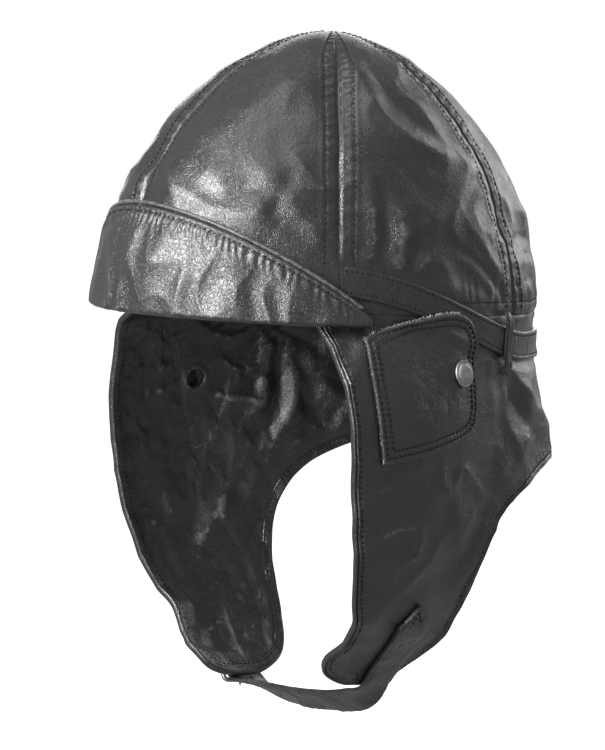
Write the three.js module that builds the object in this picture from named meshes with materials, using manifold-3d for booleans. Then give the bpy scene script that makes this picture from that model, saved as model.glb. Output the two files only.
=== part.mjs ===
// Leather flying helmet: a six-panel crown with a turned-up peak, and two ear
// flaps that run round the nape, joined under the chin by a buckled strap.
// Millimetres and degrees. +Z is up, the face looks along -Y and the wearer's
// left is +X. The origin is the centre of the brow oval, where a head fills it.
import * as THREE from 'three';
import { mergeVertices } from 'three/addons/utils/BufferGeometryUtils.js';
import Module from 'manifold-3d';

// The brow oval and the crown above it.
const BROW_HALF_WIDTH = 80;
const BROW_HALF_DEPTH = 105.5;
const CROWN_HEIGHT = 120;
const CROWN_FULLNESS = 1.78;
const CROWN_LEAN = 2.5;
const APEX_HOLE = 1.2;
const CROWN_WALL = 1.6;
const PANEL_PUFF = 1.7;
const SEAM_PINCH = 1.1;
const SEAM_PINCH_REACH = 5;
const CENTRE_SEAM_TURN = -7;
const FRONT_SEAM_ANGLE = 63;
const REAR_SEAM_ANGLE = 120;

// The curtain: both ear flaps and the nape, hung from the crown's lower seam.
const FLAP_DROP = 166;
const RIGHT_FLAP_SAG = 10;
const OUTER_WALL = 1.2;
const LINING_WALL = 1;
const EDGE_RADIUS = 1.5;
const EAR_HOLE_RADIUS = 4.4;
const EAR_HOLE_ANGLE = 88;
const EAR_HOLE_DROP = 43;

// The turned-up peak.
const VISOR_HEIGHT = 42;
const VISOR_HALF_SPAN = 71;
const VISOR_WALL = 2;
const VISOR_STANDOFF = 2.9;
const VISOR_FOLD_DROP = 6;
const VISOR_PIPING_RADIUS = 0.9;

// Ear covers with their snaps.
const COVER_WALL = 1.3;
const COVER_FRONT_ANGLE = 69.5;
const COVER_WIDTH = 65;
const COVER_HEIGHT = 63;
const COVER_LEAN = 8;
const COVER_TOP_DROP = -1;
const SNAP_RADIUS = 6;
const SNAP_HEIGHT = 2.4;
const SNAP_FROM_REAR = 11.5;
const SNAP_DROP = 25;

// The belt that runs from the front seams round the nape, and what holds it.
const BELT_WIDTH = 12.5;
const BELT_WALL = 1.6;
const BELT_START_RISE = 13;
const BELT_NAPE_DROP = 14.3;
const BELT_SETTLE_ANGLE = 128;
const LOOP_WIDTH = 4.6;
const LOOP_WALL = 1.2;
const LOOP_LENGTH = 27;
const LOOP_ANGLE = 115.5;

// The dark retaining tab at the back of the head, snapped at its lower end.
const TAB_WIDTH = 26;
const TAB_LENGTH = 50;
const TAB_WALL = 2;
const TAB_RISE = 4;
const TAB_SNAP_RADIUS = 8;
const TAB_SNAP_HEIGHT = 4;

// The chin strap, sewn to the left flap and buckled to a tab on the right one.
const STRAP_WIDTH = 17;
const STRAP_WALL = 2;
const STRAP_ANGLE = 90.5;
const STRAP_SWEEP = 7;
const BUCKLE_ANGLE = 92;
const STRAP_START_DROP = 125;
const STRAP_SAG = 8;
const STRAP_TILT = 24;
const STRAP_TAIL = 24;
const BUCKLE_WIRE = 2.2;
const BUCKLE_LENGTH = 11;
const BUCKLE_RISE = 10;
const BUCKLE_TILT = 16;
const BUCKLE_TAB_WIDTH = 15;
const BUCKLE_TAB_LENGTH = 22;

// Meshes that lie against each other keep this gap, the curtain's two layers a
// wider one.
const GAP = 0.3;
const LAYER_GAP = 0.5;

const HELMET_LEATHER = { color: 0x2c2c2d, roughness: 0.38, metalness: 0 };
const VISOR_LEATHER = { color: 0x3a3a3b, roughness: 0.32, metalness: 0 };
const LINING_LEATHER = { color: 0x1f1f20, roughness: 0.5, metalness: 0 };
const TAB_LEATHER = { color: 0x0c0c0d, roughness: 0.55, metalness: 0 };
const DULL_NICKEL = { color: 0x7d7c7a, roughness: 0.42, metalness: 1 };
const BLACK_ENAMEL = { color: 0x0e0e0f, roughness: 0.3, metalness: 0 };

// How far the curtain stands out from the brow oval, as a share of the oval,
// at five stations round the head. depth is a share of FLAP_DROP.
const STATIONS = [60, 85, 110, 150, 180];
const CURTAIN_SECTIONS = [
  { depth: 0.00, reach: [1.000, 1.000, 1.000, 1.000, 1.000] },
  { depth: 0.04, reach: [0.998, 1.000, 1.000, 0.995, 0.990] },
  { depth: 0.07, reach: [1.065, 1.024, 1.000, 0.995, 0.990] },
  { depth: 0.10, reach: [1.132, 1.048, 1.000, 0.998, 0.988] },
  { depth: 0.19, reach: [1.223, 1.100, 1.020, 1.040, 1.018] },
  { depth: 0.28, reach: [1.266, 1.130, 1.040, 1.085, 1.055] },
  { depth: 0.38, reach: [1.260, 1.145, 1.050, 1.118, 1.080] },
  { depth: 0.47, reach: [1.236, 1.140, 1.045, 1.125, 1.085] },
  { depth: 0.57, reach: [1.200, 1.110, 1.025, 1.110, 1.080] },
  { depth: 0.66, reach: [1.145, 1.065, 0.998, 1.060, 1.060] },
  { depth: 0.75, reach: [1.054, 0.985, 0.930, 1.000, 1.000] },
  { depth: 0.80, reach: [0.975, 0.920, 0.880, 0.940, 0.940] },
  { depth: 0.85, reach: [0.846, 0.825, 0.812, 0.860, 0.860] },
  { depth: 0.90, reach: [0.720, 0.715, 0.720, 0.760, 0.760] },
  { depth: 0.95, reach: [0.610, 0.610, 0.620, 0.650, 0.650] },
  { depth: 1.00, reach: [0.520, 0.520, 0.530, 0.560, 0.560] },
];

// The free edge of one ear flap and half the nape, by angle and by depth as a
// share of FLAP_DROP: down the front edge from the brow, round the toe, up the
// rear edge and along the hem to the back. FREE_EDGE[TOE] is the toe's tip.
const FREE_EDGE = [
  { angle: 55.0, depth: 0.002 },
  { angle: 59.5, depth: 0.050 },
  { angle: 62.6, depth: 0.100 },
  { angle: 65.2, depth: 0.190 },
  { angle: 67.5, depth: 0.380 },
  { angle: 69.2, depth: 0.570 },
  { angle: 71.5, depth: 0.750 },
  { angle: 73.0, depth: 0.830 },
  { angle: 70.8, depth: 0.885 },
  { angle: 68.0, depth: 0.925 },
  { angle: 69.0, depth: 0.962 },
  { angle: 75.0, depth: 0.990 },
  { angle: 87.0, depth: 1.000 },
  { angle: 103.0, depth: 0.992 },
  { angle: 112.0, depth: 0.950 },
  { angle: 113.2, depth: 0.880 },
  { angle: 110.0, depth: 0.740 },
  { angle: 111.5, depth: 0.615 },
  { angle: 115.0, depth: 0.545 },
  { angle: 122.0, depth: 0.480 },
  { angle: 136.0, depth: 0.415 },
  { angle: 155.0, depth: 0.375 },
  { angle: 180.0, depth: 0.360 },
];
const TOE = 10;

// The ear cover's outline from its front edge to its rear edge: how far down
// its top and bottom edges lie, as shares of COVER_HEIGHT.
const COVER_OUTLINE = [
  { across: 0.00, top: 0.190, bottom: 1.000 },
  { across: 0.15, top: 0.130, bottom: 0.985 },
  { across: 0.35, top: 0.060, bottom: 0.955 },
  { across: 0.60, top: 0.010, bottom: 0.905 },
  { across: 0.76, top: 0.000, bottom: 0.870 },
  { across: 0.88, top: 0.025, bottom: 0.825 },
  { across: 0.96, top: 0.090, bottom: 0.755 },
  { across: 1.00, top: 0.190, bottom: 0.640 },
];

// How far the strap dips below the straight line from toe to buckle, as a
// share of STRAP_SAG, from the left toe (0) to the buckle (1).
const STRAP_DIPS = [
  { along: 0.12, dip: 0.75 },
  { along: 0.28, dip: 1.00 },
  { along: 0.52, dip: 0.98 },
  { along: 0.78, dip: 0.66 },
];

// Main folds. angle is in degrees round the head, height a share of the
// crown's height or of the flap's drop, lean in degrees from upright towards
// the back, and length, width and rise are shares of FOLD_LENGTH, FOLD_WIDTH
// and FOLD_RISE. A negative rise is a hollow.
const FOLD_LENGTH = 60;
const FOLD_WIDTH = 9;
const FOLD_RISE = 2.2;
const CROWN_FOLDS = [
  { angle: 78, height: 0.72, lean: 42, length: 0.90, width: 1.10, rise: 1.20 },
  { angle: 92, height: 0.52, lean: 62, length: 0.60, width: 0.90, rise: 0.80 },
  { angle: 73, height: 0.30, lean: 6, length: 0.80, width: 0.60, rise: 0.75 },
  { angle: 79, height: 0.26, lean: 10, length: 0.70, width: 0.60, rise: -0.70 },
  { angle: 86, height: 0.24, lean: 14, length: 0.55, width: 0.70, rise: 0.80 },
  { angle: 97, height: 0.20, lean: 30, length: 0.45, width: 0.80, rise: -0.60 },
  { angle: 108, height: 0.24, lean: -12, length: 0.45, width: 0.80, rise: 0.55 },
  { angle: 128, height: 0.26, lean: 0, length: 0.55, width: 0.60, rise: -0.60 },
  { angle: 138, height: 0.30, lean: 4, length: 0.60, width: 0.70, rise: 0.60 },
  { angle: 22, height: 0.62, lean: 24, length: 0.70, width: 1.20, rise: 0.55 },
  { angle: 44, height: 0.55, lean: -8, length: 0.55, width: 0.90, rise: -0.50 },
];
const CURTAIN_FOLDS = [
  { angle: 118, height: 0.22, lean: 28, length: 0.60, width: 0.90, rise: -0.80 },
  { angle: 128, height: 0.26, lean: 24, length: 0.60, width: 0.90, rise: 0.90 },
  { angle: 143, height: 0.24, lean: 10, length: 0.45, width: 0.80, rise: -0.70 },
  { angle: 160, height: 0.22, lean: 0, length: 0.45, width: 1.00, rise: 0.60 },
  { angle: 94, height: 0.60, lean: -24, length: 0.70, width: 1.00, rise: 0.60 },
  { angle: 76, height: 0.66, lean: 8, length: 0.80, width: 1.10, rise: -0.50 },
  { angle: 68, height: 0.14, lean: 64, length: 0.30, width: 0.60, rise: 0.50 },
];

const radians = THREE.MathUtils.degToRad;
const { clamp, lerp, smoothstep } = THREE.MathUtils;

// A smooth curve through the points (xs[i], ys[i]), with finite-difference slopes.
function smoothThrough(xs, ys, x) {
  const last = xs.length - 1;
  if (x <= xs[0]) return ys[0];
  if (x >= xs[last]) return ys[last];
  let i = 0;
  while (x > xs[i + 1]) i += 1;
  const slope = (k) => {
    const before = Math.max(k - 1, 0);
    const after = Math.min(k + 1, last);
    return (ys[after] - ys[before]) / (xs[after] - xs[before]);
  };
  const span = xs[i + 1] - xs[i];
  const t = (x - xs[i]) / span;
  const rise = ys[i + 1] - ys[i];
  const bend = span * (slope(i) + slope(i + 1)) - 2 * rise;
  return ys[i] + t * (span * slope(i) + t * (3 * rise - span * (2 * slope(i) + slope(i + 1)) + t * bend));
}

const SECTION_DEPTHS = CURTAIN_SECTIONS.map((row) => row.depth);
const STATION_REACHES = STATIONS.map((_, i) => CURTAIN_SECTIONS.map((row) => row.reach[i]));

// The curtain's share of the brow oval at an angle round the head and a depth.
function curtainReach(angle, depth) {
  const atDepth = STATION_REACHES.map((reaches) => smoothThrough(SECTION_DEPTHS, reaches, depth));
  return smoothThrough(STATIONS, atDepth, Math.abs(angle));
}

// The crown's share of the brow oval at a height above it.
function crownReach(z) {
  const share = clamp(z / CROWN_HEIGHT, 0, 1);
  return (1 - share ** CROWN_FULLNESS) ** (1 / CROWN_FULLNESS);
}

const SEAM_ANGLES = [
  CENTRE_SEAM_TURN,
  FRONT_SEAM_ANGLE,
  REAR_SEAM_ANGLE,
  180,
  360 - REAR_SEAM_ANGLE,
  360 - FRONT_SEAM_ANGLE,
  360 + CENTRE_SEAM_TURN,
];
const MEAN_RADIUS = (BROW_HALF_WIDTH + BROW_HALF_DEPTH) / 2;

// One fold's height over the leather, a long soft ridge or hollow.
function foldRise(fold, across, along) {
  const lean = radians(fold.lean);
  const side = across * Math.cos(lean) - along * Math.sin(lean);
  const run = across * Math.sin(lean) + along * Math.cos(lean);
  const width = fold.width * FOLD_WIDTH;
  const length = fold.length * FOLD_LENGTH;
  return fold.rise * FOLD_RISE * Math.exp(-((side / width) ** 2) - (2 * run / length) ** 2);
}

function foldsAt(folds, angle, z, height, reach) {
  let rise = 0;
  for (const fold of folds) {
    const across = radians(angle - fold.angle) * MEAN_RADIUS * reach;
    rise += foldRise(fold, across, fold.height * height - z);
  }
  return rise;
}

// The leather lies smooth where the belt crosses it.
const QUIET_RISE = BELT_START_RISE + BELT_WIDTH;
const QUIET_DROP = BELT_NAPE_DROP + BELT_WIDTH / 2;

// The crown's puff between its seams, its pinch at each seam and its folds.
function crownRelief(angle, z) {
  const turned = ((angle - SEAM_ANGLES[0]) % 360 + 360) % 360 + SEAM_ANGLES[0];
  const i = SEAM_ANGLES.findIndex((seam) => turned < seam) - 1;
  const [start, end] = [SEAM_ANGLES[i], SEAM_ANGLES[i + 1]];
  const reach = crownReach(z);
  const nearest = radians(Math.min(turned - start, end - turned)) * MEAN_RADIUS * reach;
  const puff = PANEL_PUFF * Math.sin(Math.PI * (turned - start) / (end - start)) * reach;
  const pinch = SEAM_PINCH * Math.exp(-((nearest / SEAM_PINCH_REACH) ** 2)) * Math.min(1, 2 * reach);
  const mirrored = turned > 180 ? 360 - turned : turned;
  const folds = foldsAt(CROWN_FOLDS, mirrored, z, CROWN_HEIGHT, reach);
  return (puff - pinch + folds * reach) * smoothstep(z, QUIET_RISE, QUIET_RISE + BELT_WIDTH);
}

function curtainRelief(angle, z) {
  const depth = -z / FLAP_DROP;
  const reach = curtainReach(angle, depth);
  return foldsAt(CURTAIN_FOLDS, Math.abs(angle), z, -FLAP_DROP, reach) * smoothstep(-z, QUIET_DROP, QUIET_DROP + BELT_WIDTH);
}

// A point of an oval like the brow's; the crown leans forward as it rises.
function ovalPoint(angle, reach, z) {
  const turn = radians(angle);
  const lean = CROWN_LEAN * Math.max(z, 0) / CROWN_HEIGHT;
  return new THREE.Vector3(
    BROW_HALF_WIDTH * reach * Math.sin(turn),
    -BROW_HALF_DEPTH * reach * Math.cos(turn) - lean,
    z,
  );
}

// A point of the helmet's outer skin before its relief.
function skinBase(angle, z) {
  const reach = z >= 0 ? crownReach(z) : curtainReach(angle, -z / FLAP_DROP);
  return ovalPoint(angle, reach, z);
}

// The direction out of a surface given by two parameters, in small steps.
function outwardOf(surface, s, t, stepS, stepT) {
  const alongS = surface(s + stepS, t).sub(surface(s - stepS, t));
  const alongT = surface(s, t + stepT).sub(surface(s, t - stepT));
  return alongS.cross(alongT).normalize();
}

// A point that lies out from the helmet's skin, relief included.
function skinPoint(angle, z, out) {
  const relief = z >= 0 ? crownRelief(angle, z) : curtainRelief(angle, z);
  return skinBase(angle, z).addScaledVector(outwardOf(skinBase, angle, z, 1, 1), out + relief);
}

// The crown by its climb, 0 at the brow and 1 at the apex.
function crownBase(angle, climb) {
  const rise = Math.sin(climb * Math.PI / 2) ** (2 / CROWN_FULLNESS);
  const reach = Math.cos(climb * Math.PI / 2) ** (2 / CROWN_FULLNESS);
  return ovalPoint(angle, reach, CROWN_HEIGHT * rise);
}

function crownPoint(angle, climb, out) {
  const base = crownBase(angle, climb);
  const outward = outwardOf(crownBase, angle, clamp(climb, 0.01, 0.99), 1, 0.005);
  return base.addScaledVector(outward, out + crownRelief(angle, base.z));
}

// A closed shell: two grids of points, inner at side 0 and outer at side 1,
// joined round their rims. place(u, v, side) gives a point.
function shell(columns, rows, place) {
  const positions = [];
  const indices = [];
  const id = (i, j, side) => (side * (rows + 1) + j) * (columns + 1) + i;
  for (const side of [0, 1]) {
    for (let j = 0; j <= rows; j += 1) {
      for (let i = 0; i <= columns; i += 1) {
        positions.push(...place(i / columns, j / rows, side).toArray());
      }
    }
  }
  const quad = (a, b, c, d) => indices.push(a, b, c, a, c, d);
  for (let j = 0; j < rows; j += 1) {
    for (let i = 0; i < columns; i += 1) {
      quad(id(i, j, 1), id(i + 1, j, 1), id(i + 1, j + 1, 1), id(i, j + 1, 1));
      quad(id(i, j, 0), id(i, j + 1, 0), id(i + 1, j + 1, 0), id(i + 1, j, 0));
    }
  }
  for (let i = 0; i < columns; i += 1) {
    quad(id(i, 0, 0), id(i + 1, 0, 0), id(i + 1, 0, 1), id(i, 0, 1));
    quad(id(i, rows, 1), id(i + 1, rows, 1), id(i + 1, rows, 0), id(i, rows, 0));
  }
  for (let j = 0; j < rows; j += 1) {
    quad(id(0, j, 1), id(0, j + 1, 1), id(0, j + 1, 0), id(0, j, 0));
    quad(id(columns, j, 0), id(columns, j + 1, 0), id(columns, j + 1, 1), id(columns, j, 1));
  }
  const geometry = new THREE.BufferGeometry();
  geometry.setAttribute('position', new THREE.Float32BufferAttribute(positions, 3));
  geometry.setIndex(indices);
  return outwardFacing(geometry);
}

// Turns every face over where the shell encloses a negative volume.
function outwardFacing(geometry) {
  const position = geometry.getAttribute('position');
  const index = geometry.getIndex();
  const corner = [new THREE.Vector3(), new THREE.Vector3(), new THREE.Vector3()];
  let volume = 0;
  for (let i = 0; i < index.count; i += 3) {
    corner.forEach((vector, k) => vector.fromBufferAttribute(position, index.getX(i + k)));
    volume += corner[0].dot(corner[1].cross(corner[2]));
  }
  if (volume < 0) {
    for (let i = 0; i < index.count; i += 3) {
      const first = index.getX(i);
      index.setX(i, index.getX(i + 1));
      index.setX(i + 1, first);
    }
  }
  geometry.computeVertexNormals();
  return geometry;
}

// A round rod through a list of points, with a ring at each and flat ends.
function rod(points, radius, sides) {
  const positions = [];
  const indices = [];
  const last = points.length - 1;
  const side = new THREE.Vector3();
  points.forEach((point, i) => {
    const along = points[Math.min(i + 1, last)].clone().sub(points[Math.max(i - 1, 0)]).normalize();
    if (i === 0) side.set(0.3, 0.9, 0.2).cross(along);
    side.addScaledVector(along, -side.dot(along)).normalize();
    const other = new THREE.Vector3().crossVectors(along, side);
    for (let k = 0; k < sides; k += 1) {
      const turn = k * 2 * Math.PI / sides;
      const ring = point.clone().addScaledVector(side, radius * Math.cos(turn));
      positions.push(...ring.addScaledVector(other, radius * Math.sin(turn)).toArray());
    }
  });
  for (let i = 0; i < last; i += 1) {
    for (let k = 0; k < sides; k += 1) {
      const [a, b] = [i * sides + k, i * sides + (k + 1) % sides];
      indices.push(a, b, b + sides, a, b + sides, a + sides);
    }
  }
  for (let k = 1; k < sides - 1; k += 1) {
    indices.push(0, k + 1, k, last * sides, last * sides + k, last * sides + k + 1);
  }
  const geometry = new THREE.BufferGeometry();
  geometry.setAttribute('position', new THREE.Float32BufferAttribute(positions, 3));
  geometry.setIndex(indices);
  return outwardFacing(geometry);
}

const root = new THREE.Group();

function add(name, geometry, finish) {
  const mesh = new THREE.Mesh(geometry, new THREE.MeshStandardMaterial(finish));
  mesh.name = name;
  root.add(mesh);
  return mesh;
}

// The wearer's left is drawn; the right is its mirror image in X.
const SIDES = [
  { name: 'left', flip: 1 },
  { name: 'right', flip: -1 },
];

function flipped(point, flip) {
  point.x *= flip;
  return point;
}

// The six crown panels, each from seam to seam and from the brow to the apex.
const PANEL_NAMES = ['front_left', 'side_left', 'back_left', 'back_right', 'side_right', 'front_right'];
const APEX_CLIMB = 1 - 2 / Math.PI * Math.asin((APEX_HOLE / MEAN_RADIUS) ** (CROWN_FULLNESS / 2));

function crownPanel(start, end) {
  return shell(6, 11, (u, v, side) => {
    const climb = v * APEX_CLIMB;
    const reach = Math.cos(climb * Math.PI / 2) ** (2 / CROWN_FULLNESS);
    const margin = THREE.MathUtils.radToDeg(GAP / 2 / (BROW_HALF_WIDTH * reach));
    return crownPoint(lerp(start + margin, end - margin, u), climb, (side - 1) * CROWN_WALL);
  });
}

PANEL_NAMES.forEach((name, i) => {
  add(`crown_panel_${name}`, crownPanel(SEAM_ANGLES[i], SEAM_ANGLES[i + 1]), HELMET_LEATHER);
});

// The curtain is laid out flat by angle and drop, between its four edges.
const FLAT_DEGREE = radians(1) * MEAN_RADIUS;
const FREE_CURVE = new THREE.CatmullRomCurve3(
  FREE_EDGE.map((row) => new THREE.Vector3(row.angle * FLAT_DEGREE, row.depth * FLAP_DROP, 0)),
  false,
  'centripetal',
);
const SAMPLES = 10;
const FREE_LENGTHS = FREE_CURVE.getLengths((FREE_EDGE.length - 1) * SAMPLES);
const TOE_SHARE = FREE_LENGTHS[TOE * SAMPLES] / FREE_LENGTHS.at(-1);

// A point of the free edge moved into the leather, as an angle and a drop.
function insetEdge(share, inset) {
  const here = FREE_CURVE.getPointAt(clamp(share, 0, 1));
  const along = FREE_CURVE.getTangentAt(clamp(share, 0, 1));
  const angle = here.x / FLAT_DEGREE;
  const reach = curtainReach(angle, here.y / FLAP_DROP);
  const inward = new THREE.Vector2(along.y, -along.x * reach).normalize();
  return { angle: angle + inward.x * inset / (FLAT_DEGREE * reach), drop: here.y + inward.y * inset };
}

// The right flap hangs lower: its drop grows from ear height to its toe.
const SAG_START = 0.45 * FLAP_DROP;

function flapPoint(angle, drop, out, flip) {
  const point = flipped(skinPoint(angle, -drop, out), flip);
  if (flip < 0) point.z -= RIGHT_FLAP_SAG * smoothstep(drop, SAG_START, FLAP_DROP);
  return point;
}

// The Coons patch of half the curtain, inset from its free edge. Its columns
// lean forward as they rise, so that none crosses the flap's rear edge.
const TOP_SPREAD = 1.85;

function curtainPlace(u, v, inset) {
  const brow = insetEdge(0, inset);
  const toe = insetEdge(TOE_SHARE, inset);
  const hem = insetEdge(1, inset);
  const front = insetEdge(TOE_SHARE * v, inset);
  front.drop += (GAP - brow.drop) * (1 - v) ** 4;
  const lower = insetEdge(lerp(TOE_SHARE, 1, u), inset);
  lower.angle += (180 - hem.angle) * u ** 8;
  const top = { angle: lerp(brow.angle, 180, u ** TOP_SPREAD), drop: GAP };
  const back = { angle: 180, drop: lerp(GAP, hem.drop, v) };
  const corners = {
    angle: (1 - u) * (1 - v) * brow.angle + (1 - u) * v * toe.angle + u * 180,
    drop: (1 - v) * GAP + v * lerp(toe.drop, hem.drop, u),
  };
  const blend = (key) => (1 - v) * top[key] + v * lower[key]
    + (1 - u) * front[key] + u * back[key] - corners[key];
  return { angle: blend('angle'), drop: blend('drop') };
}

// Both layers stop short of the rounded edge that binds them. Their rows lie
// closer together near the brow, where the flaps turn outward.
const LAYER_INSET = 2 * EDGE_RADIUS + GAP;
const LAYER_COLUMNS = 20;
const LAYER_ROWS = 12;
const ROW_SPREAD = 1.35;

// A point of half the curtain, u round from the free edge and v down its rows.
function layerSpot(u, v) {
  const spot = curtainPlace(u, v ** ROW_SPREAD, LAYER_INSET);
  spot.angle -= THREE.MathUtils.radToDeg(GAP / 2 / BROW_HALF_WIDTH) * u;
  return spot;
}

// A layer of half the curtain whose outer face lies out from the skin.
function curtainLayer(out, wall, flip) {
  return shell(LAYER_COLUMNS, LAYER_ROWS, (u, v, side) => {
    const { angle, drop } = layerSpot(u, v);
    return flapPoint(angle, drop, out - (1 - side) * wall, flip);
  });
}

// The rounded edge that binds both layers together, from below the peak to the
// back. It runs beside the layers' rim.
const EDGE_OUT = -(OUTER_WALL + LAYER_GAP + LINING_WALL) / 2;

function curtainEdge(flip) {
  const spots = [];
  for (let row = 1; row <= LAYER_ROWS; row += 1) spots.push(layerSpot(0, row / LAYER_ROWS));
  for (let column = 1; column <= LAYER_COLUMNS; column += 1) spots.push(layerSpot(column / LAYER_COLUMNS, 1));
  const rim = spots.map(({ angle, drop }) => flapPoint(angle, drop, EDGE_OUT, flip));
  const points = rim.map((point, i) => {
    const along = rim[Math.min(i + 1, rim.length - 1)].clone().sub(rim[Math.max(i - 1, 0)]);
    const face = flipped(outwardOf(skinBase, spots[i].angle, -spots[i].drop, 1, 1), flip);
    const away = along.cross(face).multiplyScalar(flip).normalize();
    return point.clone().addScaledVector(away, EDGE_RADIUS + 1.6 * GAP);
  });
  return rod(points, EDGE_RADIUS, 6);
}

// Booleans: three's meshes go in and come out as closed solids.
const wasm = await Module();
wasm.setup();

function toSolid(geometry) {
  const bare = geometry.clone();
  bare.deleteAttribute('normal');
  bare.deleteAttribute('uv');
  const merged = mergeVertices(bare, 1e-4);
  return new wasm.Manifold(new wasm.Mesh({
    numProp: 3,
    vertProperties: merged.getAttribute('position').array,
    triVerts: Uint32Array.from(merged.getIndex().array),
  }));
}

function cut(geometry, tool) {
  const mesh = toSolid(geometry).subtract(toSolid(tool)).getMesh();
  const result = new THREE.BufferGeometry();
  result.setAttribute('position', new THREE.BufferAttribute(mesh.vertProperties, 3));
  result.setIndex(new THREE.BufferAttribute(mesh.triVerts, 1));
  result.computeVertexNormals();
  return result;
}

// The matrix that carries a drawing's x, y and z onto three directions at a point.
function frameAt(origin, x, y, z) {
  return new THREE.Matrix4().makeBasis(x, y, z).setPosition(origin);
}

// A frame on the helmet's skin: x back round the head, y up and z out.
function skinFrame(angle, z, out) {
  const outward = outwardOf(skinBase, angle, z, 1, 1);
  const round = outwardRound(angle);
  const up = new THREE.Vector3().crossVectors(outward, round).normalize();
  return frameAt(skinPoint(angle, z, out), new THREE.Vector3().crossVectors(up, outward), up, outward);
}

function outwardRound(angle) {
  return skinBase(angle + 1, 0).sub(skinBase(angle - 1, 0)).normalize();
}

function mirroredIf(geometry, flip) {
  return flip < 0 ? outwardFacing(geometry.clone().scale(-1, 1, 1)) : geometry;
}

// The hole over each ear runs through both layers of the curtain.
function earHoleTool() {
  const drill = new THREE.CylinderGeometry(EAR_HOLE_RADIUS, EAR_HOLE_RADIUS, 24, 14);
  return drill.rotateX(Math.PI / 2).applyMatrix4(skinFrame(EAR_HOLE_ANGLE, -EAR_HOLE_DROP, 0));
}

for (const { name, flip } of SIDES) {
  const drill = mirroredIf(earHoleTool(), flip);
  const panel = curtainLayer(0, OUTER_WALL, flip);
  add(`curtain_${name}`, cut(panel, drill), HELMET_LEATHER);
  const lining = curtainLayer(-OUTER_WALL - LAYER_GAP, LINING_WALL, flip);
  add(`curtain_lining_${name}`, cut(lining, drill), LINING_LEATHER);
  add(`curtain_edge_${name}`, curtainEdge(flip), HELMET_LEATHER);
}

// The peak folds out and up from the brow: across its section it climbs a short
// inner leg, turns through the fold and rises to its edge.
function visorRise(angle) {
  const share = clamp(Math.abs(angle) / VISOR_HALF_SPAN, 0, 1);
  return VISOR_HEIGHT * (1 - share ** 2) ** 0.95;
}

// How far the peak stands off the skin, less towards its two ends.
function visorStandoff(angle) {
  const share = clamp(Math.abs(angle) / VISOR_HALF_SPAN, 0, 1);
  return lerp(VISOR_STANDOFF, VISOR_WALL + 2 * GAP, share ** 4);
}

const VISOR_FOLD_SHARE = 0.35;
const VISOR_LEG_OUT = VISOR_WALL / 2 + GAP;

// The middle of the peak's section: its distance out and its height.
function visorSection(angle, v, trim) {
  const standoff = visorStandoff(angle) + VISOR_WALL / 2;
  const radius = (standoff - VISOR_LEG_OUT) / 2;
  const centre = radius + VISOR_WALL / 2 - VISOR_FOLD_DROP;
  if (v < VISOR_FOLD_SHARE) {
    const turn = Math.PI * v / VISOR_FOLD_SHARE;
    return { out: VISOR_LEG_OUT + radius * (1 - Math.cos(turn)), z: centre - radius * Math.sin(turn) };
  }
  const share = (v - VISOR_FOLD_SHARE) / (1 - VISOR_FOLD_SHARE);
  const top = Math.max(centre + 1, visorRise(angle) - trim);
  return { out: VISOR_LEG_OUT + 2 * radius, z: lerp(centre, top, share) };
}

function visorPoint(angle, v, side, trim) {
  const step = 0.01;
  const here = visorSection(angle, v, trim);
  const before = visorSection(angle, Math.max(v - step, 0), trim);
  const after = visorSection(angle, Math.min(v + step, 1), trim);
  const run = new THREE.Vector2(after.out - before.out, after.z - before.z).normalize();
  const shift = (side - 0.5) * VISOR_WALL;
  const z = here.z - run.x * shift;
  const level = Math.max(z, 0);
  const point = skinBase(angle, level).addScaledVector(outwardRoundNormal(angle), here.out + run.y * shift);
  point.z = z;
  return point;
}

// The level direction out of the brow oval.
function outwardRoundNormal(angle) {
  const round = outwardRound(angle);
  return new THREE.Vector3(round.y, -round.x, 0);
}

function visorShell() {
  const trim = 2 * VISOR_PIPING_RADIUS + GAP;
  return shell(20, 9, (u, v, side) => {
    const angle = lerp(-VISOR_HALF_SPAN, VISOR_HALF_SPAN, u);
    return visorPoint(angle, v, side, trim);
  });
}

const PIPING_STEPS = 26;
const PIPING_SPAN = 0.95;

function visorPiping() {
  const points = [];
  for (let k = 0; k <= PIPING_STEPS; k += 1) {
    const angle = lerp(-1, 1, k / PIPING_STEPS) * VISOR_HALF_SPAN * PIPING_SPAN;
    points.push(visorPoint(angle, 1, 0.5, VISOR_PIPING_RADIUS));
  }
  return rod(points, VISOR_PIPING_RADIUS, 6);
}

add('visor', visorShell(), VISOR_LEATHER);
add('visor_piping', visorPiping(), VISOR_LEATHER);

// The belt settles from the front seams down to the nape.
function beltCentre(angle) {
  return lerp(BELT_START_RISE, -BELT_NAPE_DROP, smoothstep(angle, FRONT_SEAM_ANGLE, BELT_SETTLE_ANGLE));
}

function belt(flip) {
  const end = 180 - THREE.MathUtils.radToDeg(GAP / 2 / BROW_HALF_WIDTH);
  return shell(26, 2, (u, v, side) => {
    const angle = lerp(FRONT_SEAM_ANGLE + 1, end, u);
    const z = beltCentre(angle) + (v - 0.5) * BELT_WIDTH;
    return flipped(skinPoint(angle, z, GAP + side * BELT_WALL), flip);
  });
}

// How far a piece is lifted to pass over the belt at a height.
function liftOverBelt(angle, z) {
  const past = Math.abs(z - beltCentre(angle)) - BELT_WIDTH / 2;
  return (BELT_WALL + GAP) * (1 - smoothstep(past, 3, 9));
}

function beltLoop(flip) {
  const halfAngle = LOOP_WIDTH / 2 / (radians(1) * MEAN_RADIUS);
  return shell(1, 14, (u, v, side) => {
    const angle = LOOP_ANGLE + (u - 0.5) * 2 * halfAngle;
    const z = -COVER_TOP_DROP - v * LOOP_LENGTH;
    return flipped(skinPoint(angle, z, GAP + liftOverBelt(angle, z) + side * LOOP_WALL), flip);
  });
}

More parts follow.
